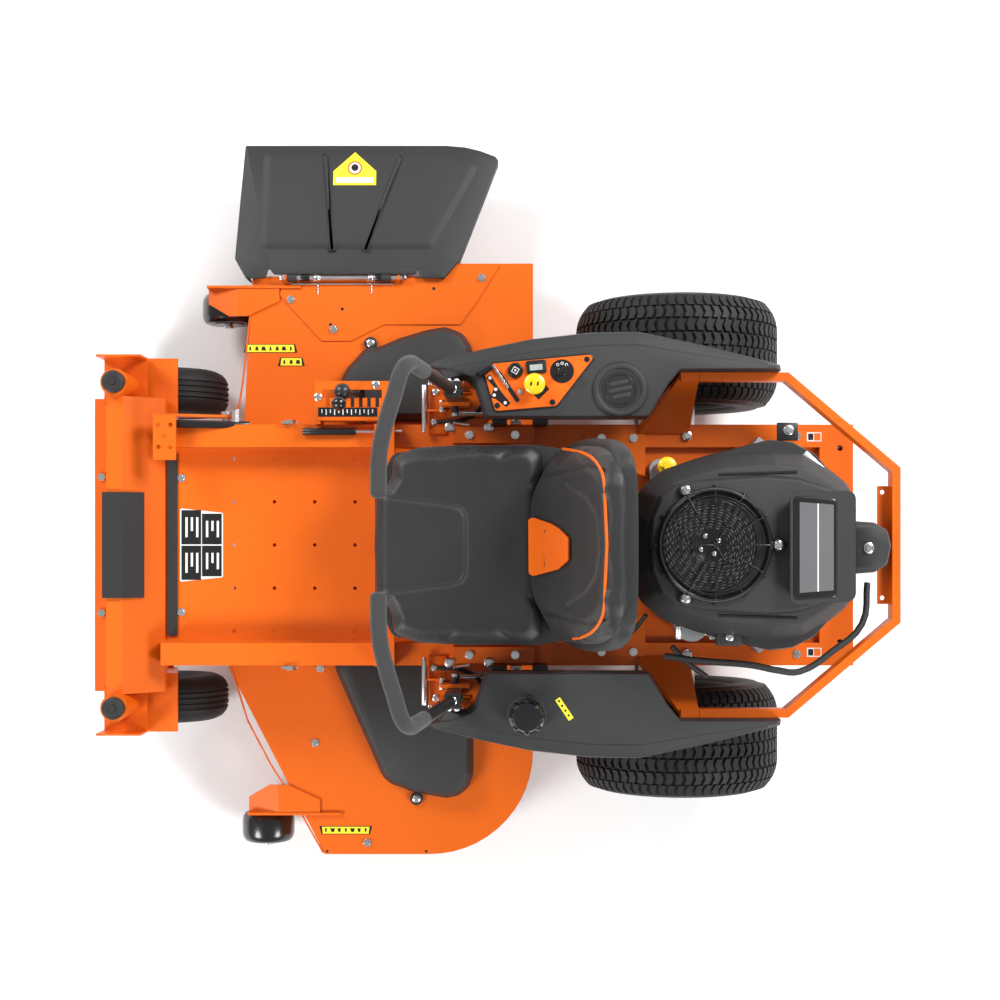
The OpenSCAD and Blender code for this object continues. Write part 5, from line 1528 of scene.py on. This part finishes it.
    def build_plates(self) -> None:
        """Builds the plain label plate, the hoses, the muffler guard and the small fittings."""
        f, top = self.finishes, SHROUD_TOP + 33.0
        shape = Shape()
        plate = rounded([(-270, -92), (-184, -98), (-184, 110), (-270, 104)][::-1][::-1], 10.0)
        shape.dome(f.gloss, plate, [(0.0, top - 0.5), (0.0, top + 1.2), (1.5, top + 2.0)])
        sheet = [(-264, -80), (-196, -86), (-196, 96), (-264, 90)]
        shape.label(f.label_grey, sheet, top + 1.8, 0.5)
        shape.label(f.label_white, [(-234, -83), (-231.5, -83), (-231.5, 93), (-234, 93)], top + 2.2, 0.3)
        shape.bolt(f.zinc, (-345.0, 6.0, SHROUD_TOP - 15.0), 8.0)
        shape.piece("engine_label_plate", "chassis", Slot.PLASTIC)
        pipes = Shape()
        hose = [(60.0, 232.0, 560.0), (-20.0, 242.0, 566.0), (-120.0, 250.0, 570.0), (-178.0, 262.0, 560.0),
                (-226.0, 266.0, 540.0), (-300.0, 224.0, 520.0), (-366.0, 168.0, 500.0), (-384.0, 82.0, 470.0)]
        pipes.hose(f.rubber, hose, 7.0, 4)
        pipes.hose(f.rubber, [(40.0, 214.0, 520.0), (10.0, 246.0, 516.0), (-36.0, 280.0, 500.0)], 6.0, 4)
        pipes.hose(f.rubber, [(90.0, 150.0, 470.0), (116.0, 186.0, 440.0), (150.0, 212.0, 420.0),
                              (214.0, 224.0, 400.0)], 5.0, 4)
        pipes.block(f.plastic, (-96.0, 172.0, 574.0), (-44.0, 208.0, 606.0), 3.0)
        pipes.bolt(f.zinc, (-70.0, 190.0, 607.0), 6.0)
        turn = Matrix.Translation((-252.0, -172.0, 0.0)) @ Matrix.Rotation(math.radians(137), 4, "Z")
        pipes.block(f.alloy, (-32.0, -22.0, 572.0), (38.0, 4.0, 594.0), 4.0, turn)
        pipes.block(f.zinc, (-12.0, -16.0, 590.0), (30.0, -4.0, 597.0), 2.0, turn)
        pipes.block(f.metal, (-220.0, -256.0, 552.0), (-176.0, -218.0, 558.0), 1.5)
        pipes.bolt(f.zinc, (-200.0, -240.0, 558.0), 8.0)
        for k in range(4):
            pipes.bolt(f.zinc, (-30.0 - 9.0 * k, 184.0 + 8.0 * (k % 2), 560.0 + 6.0 * k), 4.5)
        pipes.rod(f.zinc, (30.0, 196.0, 548.0), (30.0, 168.0, 556.0), 7.0, 7.0, 20, 1.0)
        pipes.piece("engine_pipes", "chassis", Slot.RUBBER)

    def build_dipstick(self) -> None:
        """Builds the yellow dipstick cap."""
        f = self.finishes
        shape = Shape()
        at = (52.0, -165.0, 538.0)
        shape.turned(f.yellow, [(0.0, 0.0), (19.0, 0.0), (20.0, 2.0), (20.0, 8.0), (17.0, 11.0), (11.0, 12.0),
                                (9.0, 20.0), (0.0, 21.0)], at, steps=36)
        shape.block(f.yellow, (at[0] - 16.0, at[1] - 3.0, at[2] + 8.0),
                    (at[0] + 16.0, at[1] + 3.0, at[2] + 19.0), 2.0)
        shape.rod(f.zinc, (at[0], at[1], at[2] - 90.0), (at[0], at[1], at[2]), 2.2)
        shape.piece("dipstick_cap_moulded", "dipstick", Slot.YELLOW, ["dipstick_cap"])

    def build(self) -> None:
        """Builds the engine's looks."""
        self.build_shroud()
        self.build_guard()
        self.build_screen()
        self.build_plates()
        self.build_dipstick()


# ---- Seat ----


def nearest_on(lines: Sequence[np.ndarray], points: np.ndarray) -> np.ndarray:
    """Returns each point's distance from the nearest of several lines.

    Args:
        lines: the lines' corners.
        points: the points.

    Returns:
        The least distances.
    """
    best = np.full(len(points), np.inf)
    for line in lines:
        for a, b in zip(line, line[1:]):
            run = b - a
            t = np.clip((points - a) @ run / max(run @ run, 1e-9), 0.0, 1.0)
            best = np.minimum(best, np.linalg.norm(points - a - t[:, None] * run, axis=1))
    return best


def cloth_swell(obj: bpy.types.Object, cap: float) -> None:
    """Swells a pad with air pressure and applies the result.

    Args:
        obj: the pad, in machine millimetres.
        cap: how far a point may move.
    """
    scene = bpy.context.scene
    start = [v.co.copy() for v in obj.data.vertices]
    obj.data.transform(Matrix.Scale(MM, 4))
    air = obj.modifiers.new("air", "CLOTH")
    air.settings.quality = 5
    air.settings.use_pressure = True
    air.settings.uniform_pressure_force = 4.0
    air.settings.effector_weights.gravity = 0.0
    air.settings.tension_stiffness = 25.0
    air.settings.compression_stiffness = 25.0
    for number in range(1, 21):
        scene.frame_set(number)
    graph = bpy.context.evaluated_depsgraph_get()
    swollen = [v.co / MM for v in obj.evaluated_get(graph).data.vertices]
    obj.modifiers.remove(air)
    scene.frame_set(1)
    for vert, before, after in zip(obj.data.vertices, start, swollen):
        step = after - before
        vert.co = before + (step if step.length < cap else step.normalized() * cap)


@dataclass
class Seat:
    """The padded seat with its piping."""

    finishes: Finishes
    voxel: float = 5.0
    pads: dict[str, bpy.types.Object] = field(default_factory=dict)

    def back_front(self, z: float) -> float:
        """Returns the backrest's front X at a height."""
        return self.along([(520, 352), (560, 346), (600, 326), (680, 284), (780, 242), (880, 212),
                           (925, 200)], z)

    def back_rear(self, z: float) -> float:
        """Returns the backrest's rear X at a height."""
        return self.along([(520, 262), (560, 246), (600, 234), (800, 180), (925, 152)], z)

    def back_half(self, z: float) -> float:
        """Returns the backrest's half width at a height."""
        return self.along([(520, 200), (590, 214), (700, 212), (800, 203), (860, 184), (890, 162),
                           (925, 120)], z)

    @staticmethod
    def along(table: Sequence[Flat], at: float) -> float:
        """Reads a table of (place, value) between its rows.

        Args:
            table: the rows, rising.
            at: the place.

        Returns:
            The value there.
        """
        for (a, va), (b, vb) in zip(table, table[1:]):
            if at <= b:
                t = min(max((at - a) / (b - a), 0.0), 1.0)
                return va + (vb - va) * t
        return table[-1][1]

    def padded_mesh(self, shape: Shape, cap: float) -> bpy.types.Object:
        """Turns a drawn shape into a swollen pad, still in machine millimetres.

        Args:
            shape: the drawn shape.
            cap: how far the cloth may move.

        Returns:
            The pad.
        """
        mesh = bpy.data.meshes.new("pad")
        shape.bm.to_mesh(mesh)
        shape.bm.free()
        obj = bpy.data.objects.new("pad", mesh)
        bpy.context.scene.collection.objects.link(obj)
        remesh = obj.modifiers.new("even", "REMESH")
        remesh.mode = "VOXEL"
        remesh.voxel_size = self.voxel
        smooth = obj.modifiers.new("smooth", "SMOOTH")
        smooth.iterations = 6
        self.apply(obj)
        cloth_swell(obj, cap)
        fine = obj.modifiers.new("fine", "SUBSURF")
        fine.levels = fine.render_levels = 1
        self.apply(obj)
        return obj

    @staticmethod
    def apply(obj: bpy.types.Object) -> None:
        """Applies every modifier of an object.

        Args:
            obj: the object.
        """
        graph = bpy.context.evaluated_depsgraph_get()
        made = bpy.data.meshes.new_from_object(obj.evaluated_get(graph))
        obj.modifiers.clear()
        obj.data = made

    def sew(self, obj: bpy.types.Object, seams: Sequence[Sequence[Point]], width: float, depth: float,
            into: Point) -> None:
        """Draws seams into a pad.

        Args:
            obj: the pad.
            seams: the seams' corners, in machine millimetres.
            width: how far from its line a seam pulls the pad.
            depth: how deep the seam is.
            into: the direction in which it pulls.
        """
        mesh = obj.data
        pull = np.array(Vector(into).normalized())
        where = np.array([v.co for v in mesh.vertices])
        faces_out = np.array([v.normal for v in mesh.vertices]) @ pull < -0.2
        flat = where - np.outer(where @ pull, pull)
        lines = [np.array(seam) - np.outer(np.array(seam) @ pull, pull) for seam in seams]
        away = nearest_on(lines, flat)
        dent = np.where(faces_out & (away < width), depth * np.clip(1.0 - away / width, 0.0, 1.0) ** 1.5, 0.0)
        mesh.vertices.foreach_set("co", (where + dent[:, None] * pull).ravel())
        mesh.update()

    def finish_pad(self, obj: bpy.types.Object, name: str, node: str) -> None:
        """Puts a pad in the frame.

        Args:
            obj: the pad.
            name: the piece's name.
            node: the CAD node that it stands for.
        """
        obj.name = name
        obj.data.transform(TO_FRAME)
        obj.data.materials.clear()
        obj.data.materials.append(self.finishes.vinyl)
        for face in obj.data.polygons:
            face.use_smooth = True
            face.material_index = 0
        settle(obj, "seat", [node])
        self.pads[name] = obj

    def build_cushion(self) -> None:
        """Builds the seat cushion."""
        plan = [(304, -196), (330, -218), (470, -222), (580, -216), (632, -196), (640, -150), (652, -128),
                (674, -118),
                (678, 0), (674, 118), (652, 128), (640, 150), (632, 196), (580, 216), (470, 222), (330, 218),
                (304, 196)]
        outline = rounded(plan, [20, 24, 60, 50, 34, 20, 14, 16, 60, 16, 14, 20, 34, 50, 60, 24, 20], 4)
        shape = Shape()
        shape.dome(self.finishes.vinyl, outline,
                   [(12, 501.5), (4, 505), (2, 520), (2, 542), (6, 554), (16, 561), (34, 563), (70, 561)])
        obj = self.padded_mesh(shape, 9.0)
        half = [(676, 104, 570), (560, 90, 570), (500, 82, 570), (484, 76, 570), (476, 62, 570),
                (474, 40, 570)]
        seam = half + [(x, -y, z) for x, y, z in reversed(half)]
        self.sew(obj, [seam], 8.0, 3.0, (0.0, 0.0, -1.0))
        self.finish_pad(obj, "cushion_pad", "seat_cushion")

    def build_backrest(self) -> None:
        """Builds the backrest with its side bolsters."""
        shape = Shape()
        stations = [520, 526, 545, 580, 620, 660, 700, 740, 780, 820, 855, 880, 896, 905]
        steps = 48
        with shape.solid(self.finishes.vinyl) as bm:
            loops = []
            for k, z in enumerate(stations):
                shrink = {0: 0.80, 1: 0.92, len(stations) - 1: 0.72, len(stations) - 2: 0.88,
                          len(stations) - 3: 0.96}.get(k, 1.0)
                front, rear, half = self.back_front(z) - 8.0, self.back_rear(z) + 3.0, self.back_half(z) - 4.0
                ring = []
                for i in range(steps):
                    a = math.tau * i / steps
                    c, s = math.cos(a), math.sin(a)
                    across = half * math.copysign(abs(s) ** 0.42, s) * (0.5 + 0.5 * shrink)
                    deep = (front - rear) / 2 * math.copysign(abs(c) ** 0.5, c) * shrink
                    low = min(max((760.0 - z) / 160.0, 0.0), 1.0)
                    edge = min(max((abs(across) / half - 0.4) / 0.55, 0.0), 1.0)
                    bolster = -34.0 * low * edge * edge * (3 - 2 * edge) if c > 0 else 0.0
                    if c > 0:
                        bolster += 12.0 * (1.0 - low) * math.exp(-((abs(across) - half * 0.78) / 30.0) ** 2)
                    ring.append(((front + rear) / 2 + deep + bolster, across, z))
                loops.append(ring_of(bm, ring))
            close_stack(bm, loops)
        obj = self.padded_mesh(shape, 8.0)
        lean = Vector((-1.0, 0.0, -0.35))
        arch = [(240, -124, 700), (222, -96, 790), (206, -60, 850), (200, 0, 868), (206, 60, 850),
                (222, 96, 790), (240, 124, 700)]
        sides = [(330, 140, 590), (262, 146, 720), (226, 150, 820), (208, 140, 880)]
        self.sew(obj, [arch, sides, [(x, -y, z) for x, y, z in sides]], 9.0, 5.0, tuple(lean))
        self.finish_pad(obj, "backrest_pad", "seat_backrest")

    def build_shell(self) -> None:
        """Builds the moulded shell behind and under the pads."""
        f = self.finishes
        shape = Shape()
        stations = [478, 484, 520, 580, 640, 700, 760, 810, 846, 868, 880]
        steps = 48
        with shape.solid(f.plastic) as bm:
            loops = []
            for k, z in enumerate(stations):
                shrink = {0: 0.9, 1: 0.96, len(stations) - 1: 0.84, len(stations) - 2: 0.95}.get(k, 1.0)
                front, rear = self.back_rear(z) + 30.0, self.back_rear(z) - 26.0
                half = self.back_half(z) + (2.0 if z > 600 else 0.0)
                ring = []
                for i in range(steps):
                    a = math.tau * i / steps
                    c, s = math.cos(a), math.sin(a)
                    across = half * math.copysign(abs(s) ** 0.4, s) * (0.4 + 0.6 * shrink)
                    deep = (front - rear) / 2 * math.copysign(abs(c) ** 0.6, c) * shrink
                    ring.append(((front + rear) / 2 + deep, across, z))
                loops.append(ring_of(bm, ring))
            close_stack(bm, loops)
        pan = [(230, -196), (330, -214), (630, -196), (668, -116), (668, 116), (630, 196), (330, 214),
               (230, 196)]
        shape.dome(f.plastic, pan, [(8.0, 488.0), (0.0, 491.0), (0.0, 503.0), (2.0, 506.0)], radius=26.0)
        shape.piece("moulded_seat_shell", "seat", Slot.PLASTIC, ["seat_shell"])

    def build_piping(self) -> None:
        """Builds the orange piping on the backrest."""
        f = self.finishes
        half = [(306, 212), (290, 207), (272, 199), (254, 190), (236, 178), (222, 164), (213, 148),
                (207, 126), (204, 80), (202, 30)]
        flat = half + [(201, 0)] + [(x, -y) for x, y in reversed(half)]
        pad = self.pads["backrest_pad"]
        tree = BVHTree.FromObject(pad, bpy.context.evaluated_depsgraph_get())
        line = []
        for x, y in flat:
            start = TO_FRAME @ Vector((x, y, 1200.0))
            hit = tree.ray_cast(start, Vector((0.0, 0.0, -1.0)))[0]
            if hit is not None:
                line.append(tuple(TO_FRAME.inverted() @ hit + Vector((0.6, 0.0, 0.6))))
        shape = Shape()
        shape.hose(f.orange_trim, line, 3.0, 3)
        shape.piece("seat_piping", "seat", Slot.VINYL)

    def build_window(self) -> None:
        """Builds the orange insert in the backrest's lumbar."""
        f = self.finishes
        shape = Shape()
        window = [(338, -53), (329, -57), (294, -43), (278, -32), (262, -14), (262, 30), (281, 49), (328, 64),
                  (337, 60)]
        outline = rounded(window[::-1], 6.0, 3)

        def onto(point: Vector) -> Vector:
            """Lays a level point on the backrest's front.

            Args:
                point: the point as drawn on the level.

            Returns:
                Its place on the backrest.
            """
            z = 560.0
            while z < 900.0 and self.back_front(z) > point.x:
                z += 2.0
            return Vector((point.x + 3.0 + point.z * 0.9, point.y, z + point.z * 0.4))

        if moved_in(outline, 1.0) and sum(a[0] * b[1] - b[0] * a[1] for a,
                                          b in zip(outline, outline[1:])) < 0:
            outline = outline[::-1]
        shape.label(f.orange_trim, outline, 0.0, 4.0)
        shape.label(f.dark, rounded([(296, -30), (306, -30), (306, 44), (296, 44)], 3.0), 3.6, 1.4)
        shape.piece("seat_window", "seat", Slot.VINYL, (), onto)

    def build(self) -> None:
        """Builds the seat."""
        self.build_cushion()
        self.build_backrest()
        self.build_shell()
        self.build_piping()
        self.build_window()


# ---- Controls ----


@dataclass
class Controls:
    """The lap bars' foam grips and the linkage beside the seat."""

    finishes: Finishes

    def build_grips(self) -> None:
        """Builds the foam grips."""
        f = self.finishes
        path = [(552, 341, 770), (565, 346, 812), (576, 348, 846), (588, 334, 870), (603, 286, 880),
                (622, 220, 884), (631, 175, 884), (633, 96, 884)]
        for side in ("left", "right"):
            shape = Shape(mirrored=side == "right")
            shape.hose(f.foam, path, 16.0, 7)
            shape.rod(f.foam, (633, 97, 884), (633, 89, 884), 16.0, 11.0, 36, 2.0)
            shape.piece(f"foam_grip_{side}", f"{side}_bar", Slot.FOAM, [f"grip_{side}"], angle=60.0)

    def build_bars(self) -> None:
        """Builds the bolts on the lap bars' feet."""
        f = self.finishes
        for side in ("left", "right"):
            shape = Shape(mirrored=side == "right")
            for x in (492.0, 508.0):
                shape.bolt(f.zinc, (x, 337.0, 610.0), 5.5, Vector((0.0, 1.0, 0.0)))
            shape.bolt(f.zinc, (500.0, 320.0, 624.0), 6.5)
            shape.piece(f"lap_bar_bolts_{side}", f"{side}_bar", Slot.ZINC)

    def build_linkage(self) -> None:
        """Builds the fixed clutter beside the seat: rods, springs, brackets and hoses."""
        f = self.finishes
        for side in ("left", "right"):
            shape = Shape(mirrored=side == "right")
            shape.rod(f.zinc, (569, 246, 396), (569, 350, 396), 5.5, 5.5, 20, 1.0)
            for x, y in ((513.0, 256.0), (427.6, 256.0)):
                shape.bolt(f.zinc, (x, y, 410.0), 8.0)
            shape.block(f.orange, (520, 243, 376), (562, 296, 382), 2.0)
            shape.block(f.orange, (520, 292, 376), (562, 296, 404), 1.5)
            shape.rod(f.zinc, (530, 290, 398), (530, 316, 398), 7.0, 7.0, 20, 1.0)
            shape.rod(f.zinc, (505, 268, 392), (470, 262, 392), 4.0)
            shape.spring(f.zinc, (560, 356, 392), (470, 362, 392), 7.5, 1.5, 14)
            shape.rod(f.metal, (470, 362, 392), (440, 362, 392), 5.5, 5.5, 20)
            shape.hose(f.rubber, [(540, 270, 384), (480, 276, 386), (446, 300, 384), (436, 330, 382)], 4.5, 3)
            shape.bolt(f.zinc, (544, 336, 382), 6.0)
            shape.bolt(f.zinc, (548, 270, 382.5), 6.0)
            shape.piece(f"linkage_{side}", "chassis", Slot.ZINC)

    def build(self) -> None:
        """Builds the grips, the bolts and the linkage."""
        self.build_grips()
        self.build_bars()
        self.build_linkage()


# ---- Chassis ----


@dataclass
class Dressing:
    """Labels, bolts and small parts on the chassis."""

    finishes: Finishes
    floor_top: float = 318.0
    rail_top: float = 376.0

    def build_floor(self) -> None:
        """Builds the floor's label."""
        f, z = self.finishes, self.floor_top
        shape = Shape()
        sheet = rounded([(1022, -72), (1118, -82), (1118, 82), (1022, 72)], 4.0)
        shape.label(f.label_white, sheet, z, 0.5)
        for x0, x1, y0, y1, ink in ((1025, 1069, -70, -1.5, f.label_black),
                                    (1071, 1115, -78, -1.5, f.label_black),
                                    (1025, 1069, 1.5, 70, f.label_black),
                                    (1071, 1115, 1.5, 78, f.label_black)):
            shape.label(ink, [(x0, y0), (x1, y0), (x1, y1), (x0, y1)], z, 0.9)
            for k in range(3):
                a, b = x0 + 6 + 12 * k, x0 + 11 + 12 * k
                far = y1 - 16 - 14 * (k % 2)
                shape.label(f.label_white, [(a, y0 + 16), (b, y0 + 16), (b, far), (a, far)], z, 1.2)
        shape.piece("floor_label", "chassis", Slot.ORANGE)

    def build_rails(self) -> None:
        """Builds the small labels, the strut and the fittings on the rails."""
        f, z = self.finishes, self.rail_top
        shape = Shape()
        for y in (-248.0, 226.0):
            shape.label(f.label_white, [(-304, y), (-272, y), (-272, y + 20), (-304, y + 20)], z, 0.5)
            shape.label(f.orange_trim, [(-302, y + 2), (-288, y + 2), (-288, y + 18), (-302, y + 18)], z, 0.8)
            shape.label(f.label_black, [(-286, y + 3), (-275, y + 3), (-275, y + 17), (-286, y + 17)], z, 0.8)
        shape.rod(f.gloss, (836, -249, z + 9), (719, -249, z + 9), 8.0, 8.0, 24, 1.0)
        shape.rod(f.zinc, (719, -249, z + 9), (618, -249, z + 9), 3.6, 3.6, 16)
        shape.rod(f.gloss, (957, -265, 360), (1112, -265, 396), 9.0, 9.0, 24, 1.0)
        shape.rod(f.zinc, (985, -271, 372), (985, -297, 372), 9.0, 9.0, 6)
        for y in (-240.0, 240.0):
            shape.bolt(f.zinc, (-8.0, y, z + 5.0), 8.0)
        shape.piece("rail_fittings", "chassis", Slot.PLASTIC)

    def build_index(self) -> None:
        """Builds the height plate's label and bolts, and the lever's ball knob."""
        f = self.finishes
        shape = Shape()
        shape.label(f.label_black, [(671, -300), (800, -300), (800, -280), (671, -280)], 405.0, 0.5)
        for k in range(13):
            x = 680.0 + 9.2 * k
            shape.label(f.label_white, [(x, -296), (x + 2.2, -296), (x + 2.2, -288 + 4 * (k % 2)),
                                        (x, -288 + 4 * (k % 2))],
                        405.0, 0.9)
        for at in ((800.0, -323.0), (674.0, -350.0)):
            shape.bolt(f.zinc, (*at, 405.0), 6.5)
        shape.piece("height_label", "chassis", Slot.ORANGE)
        low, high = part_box("height_lever")
        knob = Shape()
        top = (Vector(high) - machine_origin()) / MM
        knob.ball(f.gloss, (top.x - 12.0, (top.y * 2 + (Vector(low) - machine_origin()).y / MM) / 3 - 4.0,
                            top.z - 2.0),
                  16.0)
        knob.piece("height_knob", "height", Slot.METAL)

    def build(self) -> None:
        """Builds the chassis's small parts."""
        self.build_floor()
        self.build_rails()
        self.build_index()


# ---- Studio ----


@dataclass
class Studio:
    """The floor, the lights and the camera."""

    camera_height: float = 4000.0
    ahead: float = 403.0

    def floor(self) -> None:
        """Builds the pale floor."""
        bm = bmesh.new()
        bmesh.ops.create_grid(bm, x_segments=1, y_segments=1, size=12.0)
        mesh = bpy.data.meshes.new("studio_floor")
        bm.to_mesh(mesh)
        bm.free()
        made = bpy.data.objects.new("studio_floor", mesh)
        bpy.context.scene.collection.objects.link(made)
        paint = bpy.data.materials.new("studio_white")
        paint.use_nodes = True
        shader = paint.node_tree.nodes["Principled BSDF"]
        shader.inputs["Base Color"].default_value = (0.93, 0.93, 0.93, 1.0)
        shader.inputs["Roughness"].default_value = 0.9
        shader.inputs["Specular IOR Level"].default_value = 0.1
        mesh.materials.append(paint)

    def light(self, name: str, place: Point, size: float, power: float) -> None:
        """Adds a soft lamp that looks at the machine.

        Args:
            name: its name.
            place: its place in metres.
            size: its side.
            power: its power in watts.
        """
        lamp = bpy.data.lights.new(name, "AREA")
        lamp.shape = "DISK"
        lamp.size = size
        lamp.energy = power
        made = bpy.data.objects.new(name, lamp)
        made.location = place
        made.rotation_euler = (Vector((0.0, 0.0, 0.3)) - Vector(place)).to_track_quat("-Z", "Y").to_euler()
        bpy.context.scene.collection.objects.link(made)

    def camera(self) -> None:
        """Adds the camera straight above the machine."""
        lens = bpy.data.cameras.new("above")
        lens.sensor_width = 36.0
        lens.lens = 59.3
        lens.shift_y = 0.045
        made = bpy.data.objects.new("above", lens)
        made.location = TO_FRAME @ Vector((self.ahead, 0.0, self.camera_height))
        made.rotation_euler = (0.0, 0.0, math.pi)
        bpy.context.scene.collection.objects.link(made)
        bpy.context.scene.camera = made

    def build(self) -> None:
        """Builds the studio."""
        scene = bpy.context.scene
        scene.view_settings.view_transform = "Standard"
        world = bpy.data.worlds.new("studio_sky")
        world.use_nodes = True
        sky = world.node_tree.nodes["Background"]
        sky.inputs["Color"].default_value = (1.0, 1.0, 1.0, 1.0)
        sky.inputs["Strength"].default_value = 0.36
        scene.world = world
        self.floor()
        self.light("key", (-2.6, -2.3, 2.9), 1.6, 190.0)
        self.light("rim", (2.9, 2.4, 2.8), 1.6, 120.0)
        self.light("left", (-2.7, 2.6, 2.8), 1.6, 110.0)
        self.light("right", (2.8, -2.5, 2.8), 1.6, 120.0)
        self.camera()


def dress_nodes(finishes: Finishes) -> None:
    """Gives every CAD node the finish of its slot.

    Args:
        finishes: the finishes.
    """
    for node, obj in frame["nodes"].items():
        obj.data.materials.clear()
        obj.data.materials.append(finishes.of_slot(slots_of_nodes()[node]))


def slots_of_nodes() -> dict[str, str]:
    """Returns the record's slot of each CAD node."""
    return {part["node"]: part["material_slot"] for part in frame["record"]["subparts"]}


def main() -> None:
    """Builds the machine's looks in order."""
    logging.basicConfig(level=logging.INFO, format="%(relativeCreated)6d %(message)s")
    finishes = Finishes()
    dress_nodes(finishes)
    RearWheels(finishes).build()
    Casters(finishes).build()
    Rollers(finishes).build()
    DeckDressing(finishes).build()
    Chute(finishes).build()
    Fenders(finishes).build()
    Engine(finishes).build()
    Seat(finishes).build()
    Controls(finishes).build()
    Dressing(finishes).build()
    Studio().build()


if __name__ == "__main__":
    main()
